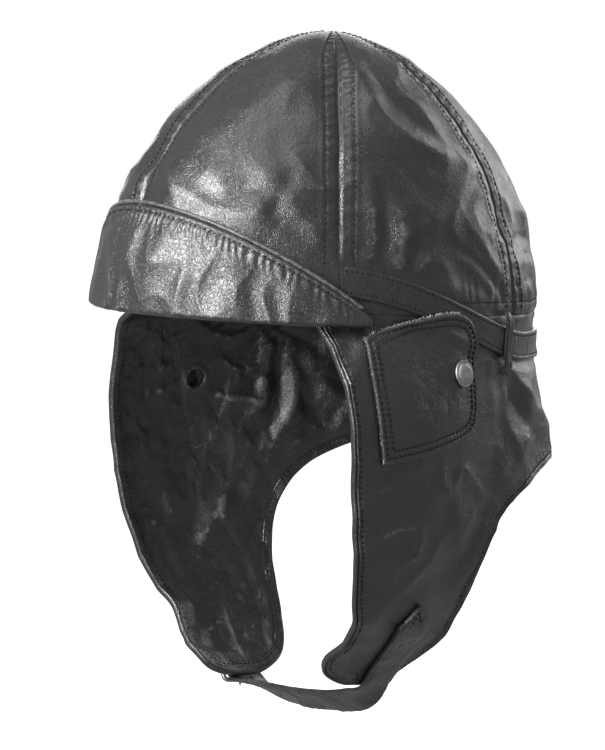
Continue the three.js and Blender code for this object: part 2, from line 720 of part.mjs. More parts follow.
// Ear covers lie over the ear holes, and their top edges over the belt.
const COVER_DEGREE = radians(1) * BROW_HALF_DEPTH * curtainReach(STATIONS[1], COVER_HEIGHT / 2 / FLAP_DROP);
const COVER_OUT = 2.5 * GAP;
const COVER_ACROSS = COVER_OUTLINE.map((row) => row.across);
const COVER_TOP = COVER_OUTLINE.map((row) => row.top);
const COVER_BOTTOM = COVER_OUTLINE.map((row) => row.bottom);

function earCover(flip) {
  return shell(9, 12, (u, v, side) => {
    const across = Math.sin(u * Math.PI / 2);
    const top = smoothThrough(COVER_ACROSS, COVER_TOP, across);
    const bottom = smoothThrough(COVER_ACROSS, COVER_BOTTOM, across);
    const z = -COVER_TOP_DROP - lerp(top, bottom, v) * COVER_HEIGHT;
    const back = across * COVER_WIDTH + COVER_LEAN * v * (1 - across);
    const angle = COVER_FRONT_ANGLE + back / COVER_DEGREE;
    return flipped(skinPoint(angle, z, COVER_OUT + liftOverBelt(angle, z) + side * COVER_WALL), flip);
  });
}

const CAP_SIDES = 16;

// A domed cap turned about its axis, from its flat back to its crown.
function domedCap(radius, height, sides) {
  const rim = Math.min(radius, height) * 0.3;
  const profile = [
    new THREE.Vector2(0, 0),
    new THREE.Vector2(radius - rim, 0),
    new THREE.Vector2(radius, rim),
    new THREE.Vector2(radius * 0.96, height * 0.62),
    new THREE.Vector2(radius * 0.72, height * 0.92),
    new THREE.Vector2(0, height),
  ];
  return new THREE.LatheGeometry(profile, sides).rotateX(Math.PI / 2);
}

function earSnap(flip) {
  const angle = COVER_FRONT_ANGLE + (COVER_WIDTH - SNAP_FROM_REAR) / COVER_DEGREE;
  const place = skinFrame(angle, -SNAP_DROP, COVER_OUT + COVER_WALL + GAP);
  return mirroredIf(domedCap(SNAP_RADIUS, SNAP_HEIGHT, CAP_SIDES).applyMatrix4(place), flip);
}

for (const { name, flip } of SIDES) {
  add(`belt_${name}`, belt(flip), HELMET_LEATHER);
  add(`belt_loop_${name}`, beltLoop(flip), HELMET_LEATHER);
  add(`ear_cover_${name}`, earCover(flip), HELMET_LEATHER);
  add(`ear_snap_${name}`, earSnap(flip), DULL_NICKEL);
}

// The back tab is flat. It hangs from the crown's edge across the belt to the
// nape, where its snap holds it.
const TAB_TOP = skinPoint(180, TAB_RISE, GAP);
const TAB_FOOT = skinPoint(180, TAB_RISE - TAB_LENGTH, GAP);

function tabFrame(down, out) {
  const up = TAB_TOP.clone().sub(TAB_FOOT).normalize();
  const side = new THREE.Vector3(-1, 0, 0);
  const outward = new THREE.Vector3().crossVectors(side, up);
  const origin = TAB_TOP.clone().addScaledVector(up, -down).addScaledVector(outward, out);
  return frameAt(origin, side, up, outward);
}

function backTab() {
  const half = TAB_WIDTH / 2;
  const shape = new THREE.Shape();
  shape.moveTo(-half, 0);
  shape.lineTo(-half, half - TAB_LENGTH);
  shape.absarc(0, half - TAB_LENGTH, half, Math.PI, 2 * Math.PI, false);
  shape.lineTo(half, 0);
  shape.closePath();
  const solid = new THREE.ExtrudeGeometry(shape, { depth: TAB_WALL, bevelEnabled: false, curveSegments: 8 });
  return solid.applyMatrix4(tabFrame(0, 0));
}

add('back_tab', backTab(), TAB_LEATHER);
const tabSnapPlace = tabFrame(TAB_LENGTH - TAB_WIDTH / 2, TAB_WALL + GAP);
add('back_tab_snap', domedCap(TAB_SNAP_RADIUS, TAB_SNAP_HEIGHT, CAP_SIDES).applyMatrix4(tabSnapPlace), BLACK_ENAMEL);

// The chin strap's way, as stations with a point and the way out of its face.
function flapStation(drop, out, flip) {
  const sweep = STRAP_SWEEP * clamp((drop - STRAP_START_DROP) / (FLAP_DROP - STRAP_START_DROP), 0, 1);
  const angle = flip > 0 ? STRAP_ANGLE + sweep : BUCKLE_ANGLE;
  return {
    point: flapPoint(angle, drop, out, flip),
    face: flipped(outwardOf(skinBase, angle, -drop, 1, 1), flip),
  };
}

const ON_FLAP = GAP + STRAP_WALL / 2;
const TAB_OUT = 2 * GAP + STRAP_WALL / 2;
const TAIL_OUT = TAB_OUT + STRAP_WALL + 2 * GAP;
const LEFT_LIP = flapStation(FLAP_DROP - GAP, ON_FLAP, 1);
const TAB_END = flapStation(FLAP_DROP - BUCKLE_RISE, TAB_OUT, -1);
const RIGHT_TOE = flapStation(FLAP_DROP - GAP, TAB_OUT, -1);
const BUCKLE_SIDE = new THREE.Vector3(0, 1, 0);
const BUCKLE_UP = TAB_END.point.clone().sub(RIGHT_TOE.point).setY(0).normalize()
  .applyAxisAngle(BUCKLE_SIDE, radians(BUCKLE_TILT));
const BUCKLE_OUT = new THREE.Vector3().crossVectors(BUCKLE_UP, BUCKLE_SIDE).normalize();
const BUCKLE_REACH = (BUCKLE_LENGTH + BUCKLE_WIRE) / 2 + 3 * GAP;
const BUCKLE_CENTRE = TAB_END.point.clone().addScaledVector(BUCKLE_UP, -BUCKLE_REACH);
const WEAVE = BUCKLE_WIRE / 2 + 5 * GAP + STRAP_WALL / 2;

function buckleStation(along, out) {
  const point = BUCKLE_CENTRE.clone().addScaledVector(BUCKLE_UP, along).addScaledVector(BUCKLE_OUT, out);
  return { point, face: BUCKLE_OUT.clone() };
}

// The strap leaves the left flap, dips under the chin with its rear edge lower
// and goes up through the buckle, over the tab that holds it.
function strapStations() {
  const stations = [];
  const steps = 4;
  for (let k = 0; k < steps; k += 1) {
    stations.push(flapStation(lerp(STRAP_START_DROP, FLAP_DROP - GAP, k / steps), ON_FLAP, 1));
  }
  stations.push(LEFT_LIP);
  const entry = buckleStation(-BUCKLE_LENGTH / 2, -WEAVE);
  const tilted = new THREE.Vector3(0, -Math.sin(radians(STRAP_TILT)), -Math.cos(radians(STRAP_TILT)));
  for (const { along, dip } of STRAP_DIPS) {
    const point = LEFT_LIP.point.clone().lerp(entry.point, along);
    point.z -= STRAP_SAG * dip;
    const face = LEFT_LIP.face.clone().lerp(entry.face, along).addScaledVector(tilted, dip).normalize();
    stations.push({ point, face });
  }
  stations.push(entry);
  stations.push(buckleStation(0, 0));
  stations.push(buckleStation(BUCKLE_LENGTH / 2, WEAVE));
  for (const share of [0.4, 0.7, 1]) {
    stations.push(flapStation(FLAP_DROP - BUCKLE_RISE - share * STRAP_TAIL, TAIL_OUT, -1));
  }
  return stations;
}

// A flat strip along stations, with an end that may come to a point.
function strip(stations, width, wall, columns, pointed) {
  const path = new THREE.CatmullRomCurve3(stations.map((station) => station.point), false, 'centripetal');
  const faces = new THREE.CatmullRomCurve3(stations.map((station) => station.face), false, 'catmullrom');
  const length = path.getLength();
  return shell(columns, 1, (u, v, side) => {
    const toTip = Math.max(0.12, Math.min(1, u * length / (width * 0.6)));
    const point = path.getPointAt(u);
    const along = path.getTangentAt(u);
    const face = faces.getPoint(path.getUtoTmapping(u));
    const across = new THREE.Vector3().crossVectors(face, along).normalize();
    const out = new THREE.Vector3().crossVectors(along, across);
    const half = width * (pointed ? toTip : 1) * (v - 0.5);
    return point.addScaledVector(across, half).addScaledVector(out, (side - 0.5) * wall);
  });
}

add('chin_strap', strip(strapStations(), STRAP_WIDTH, STRAP_WALL, 46, true), HELMET_LEATHER);

// The buckle: a rounded frame, its prong and the short tab that holds it.
function buckleFrame() {
  const shape = roundedOutline(BUCKLE_LENGTH + BUCKLE_WIRE, STRAP_WIDTH + 2 * (GAP + BUCKLE_WIRE), BUCKLE_WIRE);
  shape.holes.push(roundedOutline(BUCKLE_LENGTH - BUCKLE_WIRE, STRAP_WIDTH + 2 * GAP, BUCKLE_WIRE / 2));
  const solid = new THREE.ExtrudeGeometry(shape, { depth: BUCKLE_WIRE, bevelEnabled: false, curveSegments: 3 });
  const place = frameAt(BUCKLE_CENTRE, BUCKLE_UP, BUCKLE_SIDE, BUCKLE_OUT);
  return solid.translate(0, 0, -BUCKLE_WIRE / 2).applyMatrix4(place);
}

function roundedOutline(length, width, radius) {
  const [x, y] = [length / 2, width / 2];
  const shape = new THREE.Shape();
  shape.moveTo(radius - x, -y);
  shape.lineTo(x - radius, -y);
  shape.absarc(x - radius, radius - y, radius, -Math.PI / 2, 0, false);
  shape.lineTo(x, y - radius);
  shape.absarc(x - radius, y - radius, radius, 0, Math.PI / 2, false);
  shape.lineTo(radius - x, y);
  shape.absarc(radius - x, y - radius, radius, Math.PI / 2, Math.PI, false);
  shape.lineTo(-x, radius - y);
  shape.absarc(radius - x, radius - y, radius, Math.PI, 1.5 * Math.PI, false);
  return shape;
}

const PRONG_RADIUS = BUCKLE_WIRE / 3;

function buckleProng() {
  const over = BUCKLE_WIRE / 2 + GAP + PRONG_RADIUS;
  const points = [
    buckleStation(BUCKLE_LENGTH * 0.06, over + PRONG_RADIUS).point,
    buckleStation(-BUCKLE_LENGTH * 0.15, over + PRONG_RADIUS).point,
    buckleStation(-BUCKLE_LENGTH * 0.35, over).point,
    buckleStation(-BUCKLE_LENGTH / 2 - BUCKLE_WIRE, over).point,
  ];
  return rod(points, PRONG_RADIUS, 8);
}

function buckleTab() {
  const stations = [];
  for (const share of [1, 2 / 3, 1 / 3]) {
    stations.push(flapStation(FLAP_DROP - BUCKLE_RISE - share * BUCKLE_TAB_LENGTH, TAB_OUT, -1));
  }
  stations.push(TAB_END);
  return strip(stations, BUCKLE_TAB_WIDTH, STRAP_WALL, 14, false);
}

add('buckle_frame', buckleFrame(), DULL_NICKEL);
add('buckle_prong', buckleProng(), DULL_NICKEL);
add('buckle_tab', buckleTab(), HELMET_LEATHER);

export default root;
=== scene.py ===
"""Looks of a black leather flying helmet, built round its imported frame.

Sizes are in millimetres and angles in degrees until a mesh is made. +Z is up, the face looks
along -Y, the wearer's left is +X, and the origin is the centre of the brow oval.
"""
import sys

import logging
import math
from dataclasses import dataclass, field
from enum import Enum
from functools import cached_property
from typing import Any, Callable

import bpy
import numpy as np
from mathutils import Matrix, Vector, kdtree


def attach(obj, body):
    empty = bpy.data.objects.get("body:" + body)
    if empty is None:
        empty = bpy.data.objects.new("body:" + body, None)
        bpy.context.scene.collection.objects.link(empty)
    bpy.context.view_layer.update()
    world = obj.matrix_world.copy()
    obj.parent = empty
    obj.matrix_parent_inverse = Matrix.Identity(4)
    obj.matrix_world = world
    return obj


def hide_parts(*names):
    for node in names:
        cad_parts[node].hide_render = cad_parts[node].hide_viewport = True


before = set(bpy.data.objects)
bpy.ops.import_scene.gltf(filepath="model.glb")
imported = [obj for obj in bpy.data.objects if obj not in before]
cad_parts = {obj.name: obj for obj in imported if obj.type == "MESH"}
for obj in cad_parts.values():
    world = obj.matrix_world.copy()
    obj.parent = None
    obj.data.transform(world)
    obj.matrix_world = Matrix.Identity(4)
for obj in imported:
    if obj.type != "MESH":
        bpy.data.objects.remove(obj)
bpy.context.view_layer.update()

LOG = logging.getLogger("helmet")
Array = np.ndarray
# A point with the way out of the leather there, or many of them.
Station = tuple[Array, Array]
BODY = "root"
# Where each kind of sewing begins its seeds.
SEEDS = {
    "crown": 100, "flap": 300, "peak": 401, "cover": 500,
    "belt": 560, "fray": 640, "tab": 701, "strap": 800,
}
METRE = 0.001
# The clearance between pieces, in millimetres.
GAP = 0.3


class Side(Enum):
    """Which side of the head a piece is on, by the sign of X."""

    LEFT = 1
    RIGHT = -1

    @property
    def label(self) -> str:
        """The side's name, as the pieces and the nodes carry it."""
        return self.name.lower()

    @property
    def mirror(self) -> Array:
        """What takes points from the left side to this side."""
        return np.array([self.value, 1, 1])


# Small mathematics.
def smoothstep(x: Array, low: float, high: float) -> Array:
    """A smooth ramp from 0 at low to 1 at high."""
    share = np.clip((x - low) / (high - low), 0, 1)
    return share * share * (3 - 2 * share)


def lerp(a: Any, b: Any, share: Any) -> Any:
    """The value a share of the way from a to b."""
    return a + (b - a) * share


def bell(x: Array, width: float) -> Array:
    """A bell curve of height 1 that falls off over width."""
    return np.exp(-((x / width) ** 2))


def plateau(x: Array, low: float, full: float, last: float, high: float) -> Array:
    """1 between full and last, falling smoothly to 0 at low and at high."""
    return smoothstep(x, low, full) * (1 - smoothstep(x, last, high))


def rounded(inset: Array, depth: float, width: float) -> Array:
    """The fall of a cut edge: depth at the border, nothing from width inward."""
    return -depth * (1 - smoothstep(inset, 0, width))


def groove(inset: Array, where: float, depth: float, width: float) -> Array:
    """The groove that a seam or a row of stitches pulls into the leather."""
    return -depth * bell(inset - where, width)


def unit(vectors: Array) -> Array:
    """The vectors at length 1."""
    return vectors / np.maximum(np.linalg.norm(vectors, axis=-1, keepdims=True), 1e-9)


def run_along(points: Array) -> Array:
    """The distance along a path at each of its points."""
    return np.concatenate([[0.0], np.cumsum(np.linalg.norm(np.diff(points, axis=0), axis=1))])


def read_off(places: Array, runs: Array, rows: Array) -> Array:
    """The rows' values at places along them, where each row has its run."""
    return np.stack([np.interp(places, runs, column) for column in rows.T], axis=-1)


def circles(across: Array, other: Array, sides: int) -> Array:
    """Unit circles of so many sides, each spanned by two directions."""
    turn = np.arange(sides) * 2 * math.pi / sides
    return across[..., None, :] * np.cos(turn)[:, None] + other[..., None, :] * np.sin(turn)[:, None]


def coarse(grid: Array) -> Array:
    """Every fourth row and column of a grid, for a face that lies hidden."""
    return grid[::4, ::4]


def round_patch(count: int) -> tuple[Array, Array]:
    """The two shares of places all round a patch, count of them to a side.

    Args:
        count: how many places a side has.

    Returns:
        The shares across and down.
    """
    t = np.linspace(0, 1, count)
    low, high = np.zeros(count), np.ones(count)
    return np.concatenate([t, high, t[::-1], low]), np.concatenate([low, t, high, t[::-1]])


def through(xs: Array, ys: Array, x: Array) -> Array:
    """A smooth curve through points, with finite-difference slopes.

    Args:
        xs: where the points are, rising.
        ys: their values, the last axis as long as xs.
        x: where the curve is read.

    Returns:
        The curve's values at x.
    """
    last = len(xs) - 1
    x = np.clip(x, xs[0], xs[-1])
    i = np.clip(np.searchsorted(xs, x, "left") - 1, 0, last - 1)
    before = np.maximum(np.arange(last + 1) - 1, 0)
    after = np.minimum(np.arange(last + 1) + 1, last)
    slopes = (ys[..., after] - ys[..., before]) / (xs[after] - xs[before])

    def at(values: Array, k: Array) -> Array:
        """The values at index k, one index for each row where rows differ."""
        if values.ndim > 1:
            return np.take_along_axis(values, k[..., None], -1)[..., 0]
        return values[k]

    span = xs[i + 1] - xs[i]
    t = (x - xs[i]) / span
    rise = at(ys, i + 1) - at(ys, i)
    first, second = at(slopes, i) * span, at(slopes, i + 1) * span
    return at(ys, i) + t * (first + t * (3 * rise - 2 * first - second + t * (first + second - 2 * rise)))


def outward_of(surface: Callable, s: Array, t: Array, ds: float, dt: float) -> Array:
    """The direction out of a surface of two parameters.

    Args:
        surface: gives points from two arrays.
        s: the first parameter.
        t: the second parameter.
        ds: the step in s.
        dt: the step in t.

    Returns:
        Unit vectors, out of the side that s cross t faces.
    """
    along_s = surface(s + ds, t) - surface(s - ds, t)
    along_t = surface(s, t + dt) - surface(s, t - dt)
    return unit(np.cross(along_s, along_t))


def graded(middle: int, start: tuple[int, float] = (0, 0.0), end: tuple[int, float] = (0, 0.0)) -> Array:
    """Steps from 0 to 1 that lie closer together near the ends.

    Args:
        middle: how many steps the middle has.
        start: how many steps the start has, and its share of the whole.
        end: the same for the end.

    Returns:
        The values from 0 to 1.
    """
    parts = [np.linspace(0, start[1], start[0] + 1)[:-1] if start[0] else np.zeros(0)]
    parts.append(np.linspace(start[1], 1 - end[1], middle + 1))
    parts.append(np.linspace(1 - end[1], 1, end[0] + 1)[1:] if end[0] else np.zeros(0))
    return np.concatenate(parts)


class Noise:
    """Seeded gradient noise in space, from about -1 to 1."""

    CELLS = 256
    GAIN = 1.7

    def __init__(self, seed: int) -> None:
        """Draws the noise's tables.

        Args:
            seed: what the tables are drawn from.
        """
        rng = np.random.default_rng(seed)
        self.order = rng.permutation(self.CELLS)
        self.slopes = unit(rng.normal(size=(self.CELLS, 3)))

    def __call__(self, points: Array) -> Array:
        """The noise at points.

        Args:
            points: places whose last axis is x, y and z, one cell apart at 1.

        Returns:
            One value for each point.
        """
        wrap = self.CELLS - 1
        cell = np.floor(points).astype(int)
        inside = points - cell
        ease = inside ** 3 * (inside * (inside * 6 - 15) + 10)
        total = np.zeros(points.shape[:-1])
        for corner in np.ndindex(2, 2, 2):
            key = (cell + corner) & wrap
            index = self.order[(self.order[key[..., 0]] + key[..., 1]) & wrap]
            index = self.order[(index + key[..., 2]) & wrap]
            slope = np.sum(self.slopes[index] * (inside - corner), axis=-1)
            total += slope * np.prod(np.where(np.array(corner) == 1, ease, 1 - ease), axis=-1)
        return total * self.GAIN


WARP = (Noise(11), Noise(12), Noise(13))
SWELL, WRINKLE, RIPPLE, CREASE, PATCH = (Noise(seed) for seed in (21, 22, 23, 24, 25))
# Worn leather's rise and wavelength, in millimetres.
SWELLS, WRINKLES, RIPPLES = (1.6, 27.0), (0.75, 21.0), (0.16, 8.0)


def warped(points: Array, size: float, wavelength: float) -> Array:
    """The points pushed about by noise of a size and a wavelength in millimetres."""
    return points + size * np.stack([noise(points / wavelength) for noise in WARP], axis=-1)


def ridged(noise: Noise, points: Array, wave: float, crest: float, fall: float) -> Array:
    """Wrinkles of a wavelength: crest on their sharp lines, and less by fall beside them."""
    return crest - fall * np.abs(noise(points / wave))


def puckers(run: Array, pitch: float, where: Array, sway: float, wave: float) -> Array:
    """Small gathers along a seam, from -1 to 1.

    Args:
        run: the distance along the seam.
        pitch: from one gather to the next.
        where: the points, for unevenness.
        sway: how uneven the gathers are.
        wave: the unevenness's wavelength.

    Returns:
        The gathers' height.
    """
    return np.cos(2 * math.pi * run / pitch + sway * RIPPLE(where / wave))


def crumple(points: Array) -> Array:
    """The uneven rise of worn leather: soft swells, ridged wrinkles and ripples.

    Args:
        points: places in millimetres.

    Returns:
        The rise in millimetres.
    """
    bent = warped(points, 6.0, 42.0)
    swells = SWELLS[0] * SWELL(bent / SWELLS[1])
    wrinkles = WRINKLES[0] * ridged(WRINKLE, bent, WRINKLES[1], 0.75, 2.2)
    return swells + wrinkles + RIPPLES[0] * RIPPLE(bent / RIPPLES[1])


def creases(points: Array, size: float, width: float) -> Array:
    """Thin crossing creases, deepest at -1.

    Args:
        points: places in millimetres.
        size: the distance between creases.
        width: a crease's width as a share of that.

    Returns:
        The depth, from -1 to 0, fading in patches.
    """
    bent = warped(points, 0.35 * size, 0.8 * size)
    lines = bell(CREASE(bent / size), width) + 0.6 * bell(RIPPLE(bent / (0.55 * size) + 7.3), width)
    return -lines * smoothstep(PATCH(points / (2.6 * size)), -0.25, 0.45)


# The helmet's form, the same as in the frame.
STATIONS = np.array([60.0, 85, 110, 150, 180])
# Columns: depth as a share of the flap's drop, then the reach at each station.
SECTIONS = np.array([
    [0.00, 1.000, 1.000, 1.000, 1.000, 1.000],
    [0.04, 0.998, 1.000, 1.000, 0.995, 0.990],
    [0.07, 1.065, 1.024, 1.000, 0.995, 0.990],
    [0.10, 1.132, 1.048, 1.000, 0.998, 0.988],
    [0.19, 1.223, 1.100, 1.020, 1.040, 1.018],
    [0.28, 1.266, 1.130, 1.040, 1.085, 1.055],
    [0.38, 1.260, 1.145, 1.050, 1.118, 1.080],
    [0.47, 1.236, 1.140, 1.045, 1.125, 1.085],
    [0.57, 1.200, 1.110, 1.025, 1.110, 1.080],
    [0.66, 1.145, 1.065, 0.998, 1.060, 1.060],
    [0.75, 1.054, 0.985, 0.930, 1.000, 1.000],
    [0.80, 0.975, 0.920, 0.880, 0.940, 0.940],
    [0.85, 0.846, 0.825, 0.812, 0.860, 0.860],
    [0.90, 0.720, 0.715, 0.720, 0.760, 0.760],
    [0.95, 0.610, 0.610, 0.620, 0.650, 0.650],
    [1.00, 0.520, 0.520, 0.530, 0.560, 0.560],
])
# Columns: angle and depth, down the front edge, round the toe, up the rear edge, along the hem.
FREE_EDGE = np.array([
    [55.0, 0.002], [59.5, 0.050], [62.6, 0.100], [65.2, 0.190], [67.5, 0.380], [69.2, 0.570],
    [71.5, 0.750], [73.0, 0.830], [70.8, 0.885], [68.0, 0.925], [69.0, 0.962], [75.0, 0.990],
    [87.0, 1.000], [103.0, 0.992], [112.0, 0.950], [113.2, 0.880], [110.0, 0.740], [111.5, 0.615],
    [115.0, 0.545], [122.0, 0.480], [136.0, 0.415], [155.0, 0.375], [180.0, 0.360],
])
TOE = 10


@dataclass(frozen=True)
class Fold:
    """A soft ridge of the leather, or a hollow where rise is negative, through (angle, z) spots."""

    rise: float
    width: float
    spots: tuple[tuple[float, float], ...]


OUTER_FOLDS = (
    Fold(2.5, 6.5, ((69, 110), (76, 91), (83, 77), (95, 71), (110, 64))),
    Fold(-1.9, 6.0, ((81, 107), (88, 91), (100, 79), (112, 73))),
    Fold(1.5, 3.6, ((72, 65), (72, 37), (70, 12))),
    Fold(-1.1, 3.4, ((76, 60), (76, 36), (74, 14))),
    Fold(1.4, 3.6, ((80, 48), (80, 27), (78, 10))),
    Fold(-0.9, 3.2, ((85, 46), (84.5, 28), (81, 12))),
    Fold(1.4, 4.0, ((91, 38), (89, 30), (83, 12))),
    Fold(1.1, 3.0, ((114, 5), (102, 20), (92, 28))),
    Fold(-0.9, 2.6, ((114, 9), (103, 25), (95, 34))),
    Fold(0.9, 2.8, ((113, 3), (96, 12), (87, 15))),
    Fold(1.2, 3.4, ((116, 12), (110, 26), (104, 36), (100, 50))),
    Fold(1.2, 5.0, ((119, 71), (108, 60), (96, 53), (86, 34))),
    Fold(-0.9, 4.5, ((117, 60), (106, 50), (98, 42))),
    Fold(0.9, 6.0, ((1, 60), (9, 50), (16, 38))),
    Fold(0.9, 5.0, ((36, 60), (44, 52), (50, 44))),
    Fold(0.8, 4.5, ((46, 67), (52, 58), (57, 51))),
    Fold(0.9, 6.0, ((32, 49), (40, 40), (46, 34))),
    Fold(-0.7, 5.0, ((47, 56), (45, 44), (43, 34))),
    Fold(0.8, 4.0, ((53, 40), (57, 30), (60, 22))),
    Fold(0.7, 5.0, ((20, 58), (26, 52), (30, 46))),
    Fold(0.7, 8.0, ((43, 101), (28, 83), (20, 69))),
    Fold(-0.6, 7.0, ((54, 106), (56, 92), (56, 80))),
    Fold(1.1, 4.0, ((132, 47), (139, 44), (146, 41))),
    Fold(-0.8, 3.5, ((124, 35), (135, 34), (146, 31))),
    Fold(1.0, 3.5, ((122, 24), (133, 22), (146, 19))),
    Fold(-0.8, 3.0, ((121, 15), (133, 13), (146, 10))),
    Fold(0.9, 2.4, ((124, 2), (124, 12), (126, 22))),
    Fold(0.9, 2.4, ((130, 1), (131, 12), (131, 26))),
    Fold(0.8, 2.6, ((138, 1), (138, 10), (137, 20))),
    Fold(0.9, 2.8, ((147, 0), (148, 12), (148, 26))),
    Fold(0.8, 3.0, ((158, 0), (158, 14), (160, 28))),
    Fold(0.9, 6.0, ((150, 95), (150, 70), (156, 48))),
    Fold(-0.8, 6.0, ((163, 80), (166, 60), (165, 44))),
    Fold(1.9, 4.5, ((120, -24), (128, -38), (148, -57))),
    Fold(-1.4, 4.0, ((117, -27), (122, -42), (136, -60))),
    Fold(1.3, 4.0, ((115, -25), (116, -46), (124, -69))),
    Fold(-1.0, 4.0, ((136, -26), (142, -38), (149, -50))),
    Fold(1.1, 5.0, ((110, -28), (110, -50), (114, -72))),
    Fold(1.0, 6.0, ((106, -78), (100, -92), (94, -105))),
    Fold(1.0, 6.0, ((115, -83), (110, -102), (104, -120))),
    Fold(-0.9, 5.0, ((111, -80), (105, -97), (99, -113))),
    Fold(0.8, 7.0, ((73, -86), (78, -117), (80, -142))),
    Fold(-0.7, 6.0, ((78, -73), (80, -90), (82, -104))),
    Fold(0.9, 2.6, ((70, -7), (78, -5), (86, -3))),
    Fold(0.9, 3.5, ((148, -62), (134, -68), (121, -78))),
    Fold(0.9, 5.0, ((144, -54), (128, -56), (115, -56))),
    Fold(1.0, 4.5, ((160, -22), (162, -40), (160, -54))),
)
# Folds of the lining; a rise is towards the head.
LINING_FOLDS = (
    Fold(-1.0, 1.8, ((72, -21), (75, -38), (76, -54))),
    Fold(0.9, 3.0, ((76, -22), (79, -38), (80, -54))),
    Fold(-1.0, 2.0, ((84, -33), (85, -48), (86, -63))),
    Fold(1.3, 3.0, ((91, -49), (98, -52), (107, -54))),
    Fold(1.4, 4.0, ((106, -22), (106, -46), (101, -68))),
    Fold(1.5, 3.4, ((112, -27), (114, -53), (108, -77))),
    Fold(-1.1, 2.6, ((109, -24), (110, -48), (105, -70))),
    Fold(1.4, 5.0, ((100, -87), (95, -103), (88, -119))),
    Fold(-0.8, 2.0, ((93, -145), (93, -152), (92, -158))),
    Fold(-1.0, 3.0, ((117, -29), (119, -42), (121, -55))),
    Fold(0.9, 2.5, ((123, -70), (120, -78), (117, -84))),
    Fold(0.8, 3.0, ((67, -18), (72, -22), (78, -28))),
    Fold(0.8, 3.0, ((82, -16), (88, -19), (96, -23))),
    Fold(-0.7, 2.5, ((72, -68), (73, -80), (74, -91))),
    Fold(0.8, 4.0, ((104, -125), (106, -135), (107, -145))),
    Fold(0.9, 4.0, ((130, -20), (132, -40), (128, -60))),
    Fold(-0.9, 4.0, ((146, -20), (147, -36), (144, -52))),
)
# Where the leather lies quiet: the angles or heights over which that begins and ends.
BEHIND_PEAK = (20.0, 38.0)
TEMPLE = (58.0, 66.0)
COVER_ANGLES = (66.0, 70.0, 106.0, 111.0)
COVER_HEIGHTS = (-67.0, -61.0, 0.0, 5.0)
STRAP_ANGLES = (80.0, 86.0, 104.0, 110.0)
STRAP_HEIGHTS = (-122.0, -112.0)


class Line:
    """A smooth centripetal curve through points, read by its length."""

    STEPS = 24

    def __init__(self, points: Array) -> None:
        """Samples the curve through the points.

        Args:
            points: at least two points, any number of coordinates.
        """
        padded = np.vstack([2 * points[0] - points[1], points, 2 * points[-1] - points[-2]])
        gaps = np.linalg.norm(np.diff(padded, axis=0), axis=1) ** 0.5
        t = np.arange(self.STEPS)[:, None] / self.STEPS
        parts = []
        for k in range(len(points) - 1):
            p0, p1, p2, p3 = padded[k:k + 4]
            d0, d1, d2 = gaps[k:k + 3]
            m1 = ((p1 - p0) / d0 - (p2 - p0) / (d0 + d1) + (p2 - p1) / d1) * d1
            m2 = ((p2 - p1) / d1 - (p3 - p1) / (d1 + d2) + (p3 - p2) / d2) * d1
            leap = p2 - p1
            bend = m1 + m2 - 2 * leap
            parts.append(p1 + t * (m1 + t * (3 * leap - 2 * m1 - m2 + t * bend)))
        self.points = np.vstack([*parts, points[-1:]])
        self.params = np.arange(len(self.points)) / self.STEPS
        self.lengths = run_along(self.points)

    @property
    def length(self) -> float:
        """The curve's whole length."""
        return float(self.lengths[-1])

    def share_at(self, index: int) -> float:
        """The share of the length at which the curve passes its given point."""
        return float(self.lengths[index * self.STEPS] / self.length)

    def at(self, share: Array) -> Array:
        """Points at shares of the length."""
        return read_off(np.clip(share, 0, 1) * self.length, self.lengths, self.points)

    def param(self, share: Array) -> Array:
        """Which of the given points the curve is at, as a fraction, at shares of the length."""
        return np.interp(np.clip(share, 0, 1) * self.length, self.lengths, self.params)

    def tangent(self, share: Array) -> Array:
        """The direction along the curve at shares of the length."""
        step = 0.4 / self.length
        return unit(self.at(share + step) - self.at(share - step))


